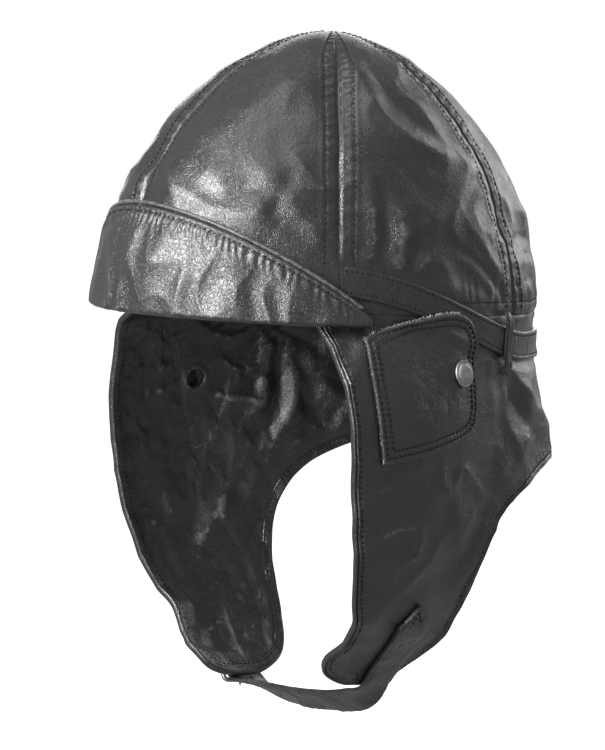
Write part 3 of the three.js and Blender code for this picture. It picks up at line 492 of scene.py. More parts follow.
@dataclass(frozen=True)
class HelmetForm:
    """The helmet's skin, and the relief that every layer of leather on it follows."""

    half_width: float = 80.0
    half_depth: float = 105.5
    crown_height: float = 120.0
    fullness: float = 1.78
    lean: float = 2.5
    flap_drop: float = 166.0
    right_sag: float = 10.0
    sag_start: float = 0.45 * 166.0
    puff: float = 1.7
    pinch: float = 1.1
    pinch_reach: float = 5.0
    seams: tuple[float, ...] = (-7, 63, 120, 180, 240, 297, 353)
    belt_width: float = 12.5
    belt_rise: float = 13.0
    belt_drop: float = 14.3
    belt_settles: float = 128.0
    visor_height: float = 42.0
    visor_span: float = 71.0
    gores_from: tuple[float, float] = (25.5, 38.0)
    front_folds: float = 0.9
    wander: float = 2.2
    wander_wave: float = 26.0
    one_sided: float = 0.02

    @property
    def radius(self) -> float:
        """The brow oval's mean radius."""
        return (self.half_width + self.half_depth) / 2

    def crown_reach(self, z: Array) -> Array:
        """The crown's share of the brow oval at a height."""
        share = np.clip(z / self.crown_height, 0, 1)
        return (1 - share ** self.fullness) ** (1 / self.fullness)

    def curtain_reach(self, angle: Array, depth: Array) -> Array:
        """The curtain's share of the brow oval.

        Args:
            angle: round the head.
            depth: as a share of the flap's drop.

        Returns:
            The share at each place.
        """
        columns = [through(SECTIONS[:, 0], SECTIONS[:, k + 1], depth) for k in range(len(STATIONS))]
        return through(STATIONS, np.stack(columns, axis=-1), np.abs(angle))

    def oval(self, angle: Array, reach: Array, z: Array) -> Array:
        """Points of an oval like the brow's.

        Args:
            angle: round the head.
            reach: its share of the brow oval.
            z: the height.

        Returns:
            The points.
        """
        turn = np.radians(angle)
        y = -self.half_depth * reach * np.cos(turn) - self.lean * np.maximum(z, 0) / self.crown_height
        return np.stack([self.half_width * reach * np.sin(turn), y, z + 0 * turn], axis=-1)

    def base(self, angle: Array, z: Array) -> Array:
        """Points of the skin before its relief.

        Args:
            angle: round the head.
            z: the height.

        Returns:
            The points.
        """
        angle, z = np.broadcast_arrays(np.asarray(angle, float), np.asarray(z, float))
        reach = np.where(z >= 0, self.crown_reach(z), self.curtain_reach(angle, -z / self.flap_drop))
        return self.oval(angle, reach, z)

    def crown_base(self, angle: Array, climb: Array) -> Array:
        """Points of the crown by climb, 0 at the brow and 1 at the apex."""
        rise = np.sin(np.clip(climb, 0, 1) * math.pi / 2) ** (2 / self.fullness)
        return self.oval(angle, self.reach_at(climb), self.crown_height * rise)

    def reach_at(self, climb: Array) -> Array:
        """The crown's share of the brow oval at a climb."""
        return np.cos(np.clip(climb, 0, 1) * math.pi / 2) ** (2 / self.fullness)

    def outward(self, angle: Array, z: Array) -> Array:
        """The direction out of the skin before its relief."""
        return outward_of(self.base, angle, z, 1.0, 1.0)

    def belt_line(self, angle: Array) -> Array:
        """The height of the belt's middle at an angle."""
        settled = smoothstep(angle, self.seams[1], self.belt_settles)
        return lerp(self.belt_rise, -self.belt_drop, settled)

    def visor_rise(self, angle: Array) -> Array:
        """The height of the peak's edge at an angle."""
        share = np.clip(np.abs(angle) / self.visor_span, 0, 1)
        return self.visor_height * (1 - share ** 2) ** 0.95

    def mirrored(self, angle: Array) -> Array:
        """The angle from the front on either side, from 0 to 180."""
        turned = (angle - self.seams[0]) % 360 + self.seams[0]
        return np.where(turned > 180, 360 - turned, np.abs(turned))

    def quiet(self, angle: Array, z: Array) -> Array:
        """How freely the leather folds: 0 under the belt and behind the peak, 1 elsewhere.

        Args:
            angle: round the head, from 0 at the front to 180 on either side.
            z: the height.

        Returns:
            A share from 0 to 1.
        """
        by_belt = smoothstep(np.abs(z - self.belt_line(angle)) - self.belt_width / 2, 0.4, 6.0)
        by_peak = np.where(z < 0, 0.0, smoothstep(z, *BEHIND_PEAK))
        free = lerp(by_peak, by_belt, smoothstep(angle, *TEMPLE))
        near_cover = plateau(angle, *COVER_ANGLES) * plateau(z, *COVER_HEIGHTS)
        near_strap = plateau(angle, *STRAP_ANGLES) * (1 - smoothstep(z, *STRAP_HEIGHTS))
        return free * (1 - 0.85 * near_cover) * (1 - 0.7 * near_strap)

    @cached_property
    def fold_lines(self) -> list[tuple[Fold, Array]]:
        """The outer folds with the points that each runs through."""
        return [(fold, self.trace(fold)) for fold in OUTER_FOLDS]

    @cached_property
    def lining_lines(self) -> list[tuple[Fold, Array]]:
        """The lining's folds with the points that each runs through."""
        return [(fold, self.trace(fold)) for fold in LINING_FOLDS]

    def trace(self, fold: Fold) -> Array:
        """The points of the skin that a fold runs through, about a millimetre apart.

        Args:
            fold: the fold.

        Returns:
            The points.
        """
        spots = np.array(fold.spots, float)
        steps = np.linspace(0, len(spots) - 1, 56)
        knots = np.arange(len(spots), dtype=float)
        return self.base(through(knots, spots[:, 0], steps), through(knots, spots[:, 1], steps))

    def relief(self, angle: Array, z: Array, place: Array) -> Array:
        """How far the leather stands off the skin: puff between seams, folds and crumple.

        Args:
            angle: round the head, from -7 to 353.
            z: the height.
            place: the skin's points there, in the helmet's own frame.

        Returns:
            The rise in millimetres.
        """
        angle, z = np.broadcast_arrays(angle, z)
        seams = np.array(self.seams, float)
        turned = (angle - seams[0]) % 360 + seams[0]
        i = np.clip(np.searchsorted(seams, turned, "right") - 1, 0, len(seams) - 2)
        share = (turned - seams[i]) / (seams[i + 1] - seams[i])
        reach = self.crown_reach(z)
        width = np.radians(seams[i + 1] - seams[i]) * self.radius * reach
        pinched = bell(np.minimum(share, 1 - share) * width, self.pinch_reach) * np.minimum(1, 2 * reach)
        sewn = self.puff * np.sin(math.pi * share) * reach - self.pinch * pinched
        around = self.mirrored(angle)
        left = place.copy()
        left[..., 0] = np.abs(left[..., 0])
        left = warped(left, self.wander, self.wander_wave) + self.one_sided * place
        folds = fold_relief(left, self.fold_lines)
        folds = folds * (1 + self.front_folds * (1 - smoothstep(around, 56, 66)))
        lively = 0.6 + 0.4 * smoothstep(60 - np.abs(z - 25), 0, 40) + 0.7 * smoothstep(-z, 0, 20)
        crumpled = lively * crumple(place) * np.minimum(1, 2.5 * reach + (z < 0))
        return self.quiet(around, z) * (sewn * smoothstep(z, *self.gores_from) + folds + crumpled)


# A fold's reach in widths, its height over its named rise, and how its sides and ends fall away.
FOLD_REACH, FOLD_GAIN, FOLD_SIDE, FOLD_END = 2.6, 1.15, 0.72, 0.7


def fold_relief(points: Array, lines: list[tuple[Fold, Array]]) -> Array:
    """The folds' height at points.

    Args:
        points: places in millimetres.
        lines: folds, each with the points that it runs through.

    Returns:
        The rise in millimetres.
    """
    flat = points.reshape(-1, 3)
    rise = np.zeros(len(flat))
    for fold, line in lines:
        middle = line.mean(axis=0)
        reach = np.linalg.norm(line - middle, axis=1).max() + FOLD_REACH * fold.width
        near = np.flatnonzero(((flat - middle) ** 2).sum(axis=1) < reach ** 2)
        if not near.size:
            continue
        gaps = ((flat[near, None] - line[None]) ** 2).sum(axis=-1)
        closest = gaps.argmin(axis=1)
        taper = np.sin(math.pi * (0.06 + 0.88 * closest / (len(line) - 1))) ** FOLD_END
        away = gaps[np.arange(near.size), closest] / fold.width ** 2
        rise[near] += FOLD_GAIN * fold.rise * taper * np.exp(-(away ** FOLD_SIDE))
    return rise.reshape(points.shape[:-1])


FORM = HelmetForm()


# Meshes.
def grid_faces(rows: int, columns: int, start: int) -> Array:
    """The four-sided faces of a grid of points.

    Args:
        rows: how many rows of faces.
        columns: how many columns of faces.
        start: the number of the first point; the rest follow row by row.

    Returns:
        The faces, four point numbers each.
    """
    first = np.arange(rows)[:, None] * (columns + 1) + np.arange(columns)[None] + start
    corners = [first, first + 1, first + columns + 2, first + columns + 1]
    return np.stack(corners, axis=-1).reshape(-1, 4)


@dataclass
class Shape:
    """Points and faces on their way to being a mesh, with values kept at each point."""

    points: Array
    faces: list[Array]
    marks: dict[str, Array] = field(default_factory=dict)

    def turned_out(self) -> "Shape":
        """Turns the faces outward.

        Returns:
            The shape itself.
        """
        volume = 0.0
        for faces in self.faces:
            for k in range(1, faces.shape[1] - 1):
                a, b, c = (self.points[faces[:, n]] for n in (0, k, k + 1))
                volume += float(np.einsum("ij,ij->", a, np.cross(b, c)))
        if volume < 0:
            self.faces = [faces[:, ::-1] for faces in self.faces]
        return self


def shell(outer: Array, inner: Array, marks: dict[str, Array] | None = None) -> Shape:
    """A closed shell between two grids, the inner as fine as the outer or coarser.

    Args:
        outer: rows by columns of points.
        inner: the same sheet's other face, whose steps are a whole number of outer steps.
        marks: values at the outer points, carried to the nearest inner ones.

    Returns:
        The shell's shape.
    """
    rows, columns = outer.shape[0] - 1, outer.shape[1] - 1
    start = (rows + 1) * (columns + 1)
    outer_ids = np.arange(start).reshape(rows + 1, columns + 1)
    inner_ids = start + np.arange(inner.shape[0] * inner.shape[1]).reshape(inner.shape[:2])
    faces = [
        grid_faces(rows, columns, 0),
        grid_faces(inner.shape[0] - 1, inner.shape[1] - 1, start)[:, ::-1],
    ]
    rims = (
        (outer_ids[0], inner_ids[0], False),
        (outer_ids[-1], inner_ids[-1], True),
        (outer_ids[:, 0], inner_ids[:, 0], True),
        (outer_ids[:, -1], inner_ids[:, -1], False),
    )
    for fine, coarse, forward in rims:
        step = (len(fine) - 1) // (len(coarse) - 1)
        windows = np.stack([fine[k:len(fine) - step + k:step] for k in range(step + 1)], axis=1)
        rim = np.concatenate([windows, coarse[1:, None], coarse[:-1, None]], axis=1)
        faces.append(rim if forward else rim[:, ::-1])
    strides = [(fine - 1) // (rough - 1) for fine, rough in zip(outer.shape[:2], inner.shape[:2])]
    kept = {
        name: np.concatenate([values.ravel(), values[::strides[0], ::strides[1]].ravel()])
        for name, values in (marks or {}).items()
    }
    points = np.concatenate([outer.reshape(-1, 3), inner.reshape(-1, 3)])
    return Shape(points, faces, kept).turned_out()


def tube(rings: Array, closed: bool = False) -> Shape:
    """A tube through rings of points, with flat ends unless it is closed.

    Args:
        rings: rings by points round a ring by three.
        closed: whether the last ring joins the first.

    Returns:
        The tube's shape.
    """
    count, round_count = rings.shape[:2]
    ids = np.arange(count * round_count).reshape(count, round_count)
    after = np.roll(ids, -1, axis=0) if closed else ids[1:]
    here = ids if closed else ids[:-1]
    beside = [here, np.roll(here, -1, axis=1), np.roll(after, -1, axis=1), after]
    faces = [np.stack(beside, axis=-1).reshape(-1, 4)]
    if not closed:
        faces += [ids[:1, ::-1], ids[-1:]]
    return Shape(rings.reshape(-1, 3), faces).turned_out()


def rings_along(points: Array, radii: Array, sides: int, first: Array) -> Array:
    """Rings of points round a path.

    Args:
        points: the path.
        radii: the radius at each point.
        sides: how many points a ring has.
        first: a direction across the path at its start.

    Returns:
        Rings by sides by three.
    """
    ahead = unit(np.gradient(points, axis=0))
    across = np.zeros_like(points)
    side = first
    for k, direction in enumerate(ahead):
        side = unit(side - direction * (side @ direction))
        across[k] = side
    ring = circles(across, np.cross(ahead, across), sides)
    return points[:, None] + ring * np.asarray(radii)[:, None, None]


def joined(shapes: list[Shape]) -> Shape:
    """Several shapes as one.

    Args:
        shapes: the shapes.

    Returns:
        One shape with all their points, faces and marks.
    """
    start, points, faces = 0, [], []
    for shape in shapes:
        points.append(shape.points)
        faces += [part + start for part in shape.faces]
        start += len(shape.points)
    names = {name for shape in shapes for name in shape.marks}
    marks = {
        name: np.concatenate([shape.marks.get(name, np.zeros(len(shape.points))) for shape in shapes])
        for name in names
    }
    return Shape(np.concatenate(points), faces, marks)


def proudness(rise: Array, rounds: int = 10) -> Array:
    """How far each point of a grid stands above its surroundings.

    Args:
        rise: a grid of heights in millimetres.
        rounds: how many times the surroundings are averaged.

    Returns:
        The height over the average, in millimetres.
    """
    soft = rise
    for _ in range(rounds):
        wide = np.pad(soft, 1, mode="edge")
        soft = (wide[:-2, 1:-1] + wide[2:, 1:-1] + wide[1:-1, :-2] + wide[1:-1, 2:]) / 4
    return rise - soft


def rubbed(rise: Array, gain: float, least: Any, rounds: int = 10, most: float = 1.0) -> dict[str, Array]:
    """How worn each point is, more where the leather stands proud, as a mark for its shape.

    Args:
        rise: a grid of heights in millimetres.
        gain: the wear for each millimetre that a point stands proud.
        least: the wear of leather that is level.
        rounds: how many times the surroundings are averaged.
        most: the greatest wear.

    Returns:
        The mark.
    """
    return {"worn": np.clip(proudness(rise, rounds) * gain + least, 0, most)}


def add_piece(
    name: str, shape: Shape, material: bpy.types.Material, slot: str, *nodes: str, sharp: float = 50.0
) -> None:
    """Makes a piece in metres, joins it to the frame and reports it.

    Args:
        name: the piece's name.
        shape: its points in millimetres, and its faces.
        material: its material.
        slot: a material slot's name; not used.
        nodes: the frame's nodes that it stands for.
        sharp: faces that meet at more than this many degrees keep a hard edge.
    """
    mesh = bpy.data.meshes.new(name)
    faces = [face for part in shape.faces for face in part.tolist()]
    mesh.from_pydata((shape.points * METRE).tolist(), [], faces)
    mesh.shade_smooth()
    mesh.set_sharp_from_angle(angle=math.radians(sharp))
    for mark, values in shape.marks.items():
        attribute = mesh.attributes.new(mark, "FLOAT", "POINT")
        attribute.data.foreach_set("value", values.astype(np.float32))
    mesh.materials.append(material)
    piece = bpy.data.objects.new(name, mesh)
    bpy.context.scene.collection.objects.link(piece)
    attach(piece, BODY)
    if nodes:
        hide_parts(*nodes)
    LOG.info("%s: %d faces", name, len(mesh.polygons))


# Finishes.
def linear(code: str) -> tuple[float, float, float, float]:
    """An sRGB hex colour as linear red, green, blue and full alpha."""
    parts = [int(code[k:k + 2], 16) / 255 for k in (1, 3, 5)]
    return (*[p / 12.92 if p <= 0.04045 else ((p + 0.055) / 1.055) ** 2.4 for p in parts], 1.0)


def add_node(
    tree: bpy.types.NodeTree, kind: str, inputs: dict[Any, Any] | None = None, **settings: Any
) -> Any:
    """Adds a node with its settings, and sets or links its inputs.

    Args:
        tree: the node tree.
        kind: the node's type.
        inputs: values or output sockets, by input name or number.
        settings: the node's own properties.

    Returns:
        The node.
    """
    made = tree.nodes.new(kind)
    for key, value in settings.items():
        setattr(made, key, value)
    for key, value in (inputs or {}).items():
        if isinstance(value, bpy.types.NodeSocket):
            tree.links.new(value, made.inputs[key])
        else:
            made.inputs[key].default_value = value
    return made


def per_metre(millimetres: float) -> float:
    """A texture's scale for a pattern of that size."""
    return 1 / (millimetres * METRE)


class Swatch:
    """A material being built, with the patterns that the finishes share."""

    def __init__(self, name: str) -> None:
        """Starts an empty material.

        Args:
            name: the material's name.
        """
        self.material = bpy.data.materials.new(name)
        self.material.use_nodes = True
        self.tree = self.material.node_tree
        self.tree.nodes.clear()

    def add(self, kind: str, inputs: dict[Any, Any], output: Any = 0, **settings: Any) -> Any:
        """Adds a shader node and gives one of its outputs."""
        return add_node(self.tree, f"ShaderNode{kind}", inputs, **settings).outputs[output]

    @cached_property
    def spot(self) -> Any:
        """The place on the object, in metres."""
        return self.add("TexCoord", {}, "Object")

    def noise(self, size: float, detail: float, spot: Any, output: str = "Fac", **inputs: float) -> Any:
        """Noise of a size in millimetres."""
        given = {"Vector": spot, "Scale": per_metre(size), "Detail": detail, **inputs}
        return self.add("TexNoise", given, output)

    def ramp(self, value: Any, low: float = 0.0, high: float = 1.0, **settings: Any) -> Any:
        """A value stretched from low and high to 0 and 1, or to what `to` gives.

        Args:
            value: the value's socket.
            low: what becomes the least.
            high: what becomes the most.
            settings: `to`, the least and the most, and the node's own properties.

        Returns:
            The new value's socket.
        """
        least, most = settings.pop("to", (0.0, 1.0))
        ends = {"From Min": low, "From Max": high, "To Min": least, "To Max": most}
        return self.add("MapRange", {"Value": value, **ends}, **settings)

    def cells(self, size: float, spot: Any, rim: float) -> Any:
        """Cells of a size in millimetres, 0 at their borders and 1 from a rim inward.

        Args:
            size: of a cell.
            spot: the place's socket.
            rim: the rim's width as a share of a cell.

        Returns:
            The height's socket.
        """
        places = {"Vector": spot, "Scale": per_metre(size)}
        inset = self.add("TexVoronoi", places, "Distance", feature="DISTANCE_TO_EDGE")
        return self.ramp(inset, 0.0, rim, interpolation_type="SMOOTHSTEP")

    def times(self, value: Any, factor: Any, plus: Any = 0.0) -> Any:
        """A value times a factor, plus another."""
        return self.add("Math", {0: value, 1: factor, 2: plus}, operation="MULTIPLY_ADD")

    def mixed(self, share: Any, first: Any, second: Any, blend: str = "MIX") -> Any:
        """Two colours blended by a share."""
        colours = {0: share, 6: first, 7: second}
        return self.add("Mix", colours, 2, data_type="RGBA", blend_type=blend)

    def bump(self, height: Any, rise: float, **inputs: Any) -> Any:
        """The way out of a surface with a fine relief, its rise in millimetres."""
        return self.add("Bump", {"Height": height, "Distance": rise * METRE, "Strength": 1.0, **inputs})

    def surfaced(self, **inputs: Any) -> bpy.types.Material:
        """Ends the material.

        Args:
            inputs: the surface's values, with underscores for the spaces in their names.

        Returns:
            The material.
        """
        named = {key.replace("_", " "): value for key, value in inputs.items()}
        surface = self.add("BsdfPrincipled", named)
        add_node(self.tree, "ShaderNodeOutputMaterial", {"Surface": surface})
        return self.material


class Grain(Enum):
    """How the grain side of a hide was finished."""

    GLAZED = "glazed"
    MATT = "matt"


@dataclass(frozen=True)
class Hide:
    """A tanned, pigmented hide: a dark glossy film over pebbled grain that crackles and rubs pale."""

    name: str
    colour: str
    rubbed: str
    grain_mm: float = 0.85
    grain_rise_mm: float = 0.055
    crackle_mm: float = 4.0
    crackle_rise_mm: float = 0.04
    rough_low: float = 0.28
    rough_high: float = 0.44
    coat: float = 0.55
    coat_roughness: float = 0.20
    crack_shade: float = 0.75
    specular: float = 0.5
    grain: Grain = Grain.GLAZED
    sway_mm: float = 6.0
    sway_reach: float = 0.0022
    speck_mm: float = 2.4
    pores_mm: float = 0.8
    tide_mm: float = 24.0
    scuff_start: float = 0.30
    scuff_full: float = 0.35
    scuff_roughness: float = 0.18

    def build(self) -> bpy.types.Material:
        """Builds the material.

        Returns:
            The material, patterned by object position in metres.
        """
        made = Swatch(self.name)
        sway = made.noise(self.sway_mm, 2.0, made.spot, "Color")
        push = made.add("VectorMath", {0: sway, "Scale": self.sway_reach}, operation="SCALE")
        bent = made.add("VectorMath", {0: made.spot, 1: push}, operation="ADD")
        pebble = made.cells(self.grain_mm, bent, 0.28)
        plate = made.cells(self.crackle_mm, bent, 0.10)
        # Scuffs: rubbed where the leather stands proud, in streaks and specks.
        worn = made.add("Attribute", {}, "Fac", attribute_name="worn")
        speck = made.noise(self.speck_mm, 5.0, bent, Roughness=0.7)
        proud = made.times(worn, speck, -self.scuff_start)
        scuffed = made.ramp(proud, 0.0, self.scuff_full, interpolation_type="SMOOTHSTEP")
        hue = made.mixed(scuffed, linear(self.colour), linear(self.rubbed))
        # Painted shade: the cracks and the hollows between pebbles are drawn darker, and the middles of the
        # pebbles a little lighter.
        painted_crack_shade = made.ramp(plate, to=(self.crack_shade, 1.0))
        shade = made.mixed(1.0, hue, made.times(painted_crack_shade, made.ramp(pebble, to=(0.62, 1.12))), "MULTIPLY")
        # The gloss comes and goes in tides, and scuffs are dull.
        tide = made.noise(self.tide_mm, 4.0, made.spot)
        rough = made.ramp(tide, 0.3, 0.7, to=(self.rough_low, self.rough_high))
        grained = made.times(made.noise(self.pores_mm, 2.0, made.spot), 0.5, pebble)
        relief = made.bump(plate, self.crackle_rise_mm, Normal=made.bump(grained, self.grain_rise_mm))
        return made.surfaced(
            Base_Color=shade, Roughness=made.times(scuffed, self.scuff_roughness, rough), Normal=relief,
            IOR=1.5, Specular_IOR_Level=self.specular,
            Coat_Weight=self.coat if self.grain is Grain.GLAZED else 0.0,
            Coat_Roughness=self.coat_roughness, Coat_Normal=relief,
        )


@dataclass(frozen=True)
class Plated:
    """A hard smooth finish, metal plate or stoved enamel, with fine scratches and dull patches."""

    name: str
    colour: str
    metallic: float
    rough_low: float
    rough_high: float
    scratch_mm: float = 0.9
    scratch_rise_mm: float = 0.03
    patch_mm: float = 5.0

    def build(self) -> bpy.types.Material:
        """Builds the material.

        Returns:
            The material, patterned by object position in metres.
        """
        made = Swatch(self.name)
        stretched = made.add("Mapping", {"Vector": made.spot, "Scale": (1.0, 0.25, 3.0)})
        scratches = made.noise(self.scratch_mm, 4.0, stretched)
        dull = made.noise(self.patch_mm, 3.0, made.spot)
        hue = made.mixed(1.0, linear(self.colour), made.ramp(dull, to=(0.55, 1.15)), "MULTIPLY")
        rough = made.ramp(dull, 0.3, 0.7, to=(self.rough_low, self.rough_high))
        relief = made.bump(scratches, self.scratch_rise_mm)
        return made.surfaced(Base_Color=hue, Metallic=self.metallic, Roughness=rough, Normal=relief)


@dataclass(frozen=True)
class Thread:
    """Waxed linen thread: dull, twisted, its plies drawn as fine slanting ribs."""

    name: str
    colour: str
    faded: str
    ply_mm: float = 0.35
    ply_rise_mm: float = 0.04
    age_mm: float = 3.0
    bands: float = 20.0

    def build(self) -> bpy.types.Material:
        """Builds the material.

        Returns:
            The material, patterned by object position in metres.
        """
        made = Swatch(self.name)
        ribs = {"Vector": made.spot, "Scale": per_metre(self.ply_mm) / self.bands, "Distortion": 2.0}
        relief = made.bump(made.add("TexWave", ribs, "Fac"), self.ply_rise_mm)
        hue = made.mixed(made.noise(self.age_mm, 3.0, made.spot), linear(self.colour), linear(self.faded))
        return made.surfaced(Base_Color=hue, Roughness=0.75, Specular_IOR_Level=0.25, Normal=relief)


@dataclass(frozen=True)
class Wardrobe:
    """Every finish of the helmet, built once."""

    hide: bpy.types.Material
    peak: bpy.types.Material
    lining: bpy.types.Material
    tab: bpy.types.Material
    nickel: bpy.types.Material
    enamel: bpy.types.Material
    thread: bpy.types.Material
    fray: bpy.types.Material

    @staticmethod
    def build() -> "Wardrobe":
        """Builds the finishes.

        Returns:
            The finishes, one material each.
        """
        return Wardrobe(
            # Glazed black sheepskin: soft gloss, pebbled, rubbed grey on ridges.
            hide=Hide("glazed_black_sheepskin", "#272728", "#565657").build(),
            # The peak's stiffer calf: the same black, polished by handling, with finer crackle.
            peak=Hide("polished_black_calf", "#2e2e2f", "#6a6a6b", crackle_mm=2.1, grain_mm=0.8,
                      grain_rise_mm=0.05, crackle_rise_mm=0.06, rough_low=0.32, rough_high=0.43,
                      coat=0.75, crack_shade=0.5).build(),
            # Thin skiver lining: dull and unglazed, so wrinkles show softly.
            lining=Hide("skiver_lining", "#2b2b2c", "#5c5c5d", rough_low=0.32, rough_high=0.46,
                        coat=0.3, grain_mm=0.8, grain_rise_mm=0.04).build(),
            # Matt harness strap: flat black and barely worn.
            tab=Hide("matt_black_strap", "#0c0c0d", "#1c1c1d", rough_low=0.5, rough_high=0.65,
                     grain=Grain.MATT, grain_mm=0.8, grain_rise_mm=0.05).build(),
            # Dull nickel plate on pressed brass: grey, softly reflecting, tarnished in patches.
            nickel=Plated("dull_nickel_plate", "#b4b3af", 1.0, 0.38, 0.56).build(),
            # Stoved black enamel: hard, dark and evenly glossy.
            enamel=Plated("black_enamel", "#0e0e0f", 0.0, 0.22, 0.36).build(),
            # Waxed black thread, greyed where it rubs.
            thread=Thread("waxed_black_thread", "#060606", "#161617").build(),
            # Raw leather fibre at torn edges: pale and fuzzy.
            fray=Thread("raw_hide_fibre", "#6c6b68", "#a5a39f").build(),
        )


# Sewing.
# A stitch's stations: along as a share of its length, radius as a share of its thickness, height.
STITCH = np.array([
    [-0.5, 0.4, -0.34], [-0.32, 0.95, -0.04], [0.0, 1.05, 0.04], [0.32, 0.95, -0.04], [0.5, 0.4, -0.34],
])


@dataclass(frozen=True)
class Sewing:
    """Rows of lockstitch, each stitch a short rounded bar that dips at both ends."""

    pitch: float = 2.4
    length: float = 1.7
    thickness: float = 0.26
    sides: int = 5
    drift: float = 0.08
    skew: float = 0.07

    def row(self, points: Array, normals: Array, seed: int) -> Shape:
        """Stitches along a line on the leather.

        Args:
            points: the line, in millimetres.
            normals: the way out of the leather at each point.
            seed: of the small unevenness.

        Returns:
            The stitches' shape.
        """
        rng = np.random.default_rng(seed)
        runs = run_along(points)
        count = max(2, int(runs[-1] / self.pitch))
        where = (np.arange(count) + 0.5) * runs[-1] / count + rng.normal(0, self.drift, count)
        middle = read_off(where, runs, points)
        out = unit(read_off(where, runs, normals))
        along = unit(read_off(where + 0.6, runs, points) - read_off(where - 0.6, runs, points))
        across = unit(np.cross(out, along))
        along = unit(along + across * rng.normal(0, self.skew, count)[:, None])
        across = unit(np.cross(out, along))
        shares, radii, heights = STITCH.T[:, None, :, None]
        centre = middle[:, None] + along[:, None] * (shares * self.length) + out[:, None] * heights
        ring = circles(across[:, None], out[:, None], self.sides)
        spots = centre[:, :, None] + ring * (radii * self.thickness)[..., None]
        ids = np.arange(count * len(STITCH) * self.sides).reshape(count, len(STITCH), self.sides)
        here, after = ids[:, :-1], ids[:, 1:]
        quads = np.stack([here, np.roll(here, -1, 2), np.roll(after, -1, 2), after], axis=-1).reshape(-1, 4)
        return Shape(spots.reshape(-1, 3), [quads, ids[:, 0, ::-1], ids[:, -1]]).turned_out()


SEWING = Sewing()


def nearest(points: Array, border: Array) -> tuple[Array, Array]:
    """How far points lie from a border, and where along it.

    Args:
        points: places, the last axis x, y and z.
        border: the border's points in order.

    Returns:
        The distance, and the distance along the border to the nearest point.
    """
    tree = kdtree.KDTree(len(border))
    for k, spot in enumerate(border):
        tree.insert(spot, k)
    tree.balance()
    found = [tree.find(spot) for spot in points.reshape(-1, 3)]
    along = run_along(border)
    distance = np.array([hit[2] for hit in found]).reshape(points.shape[:-1])
    run = along[np.array([hit[1] for hit in found])].reshape(points.shape[:-1])
    return distance, run


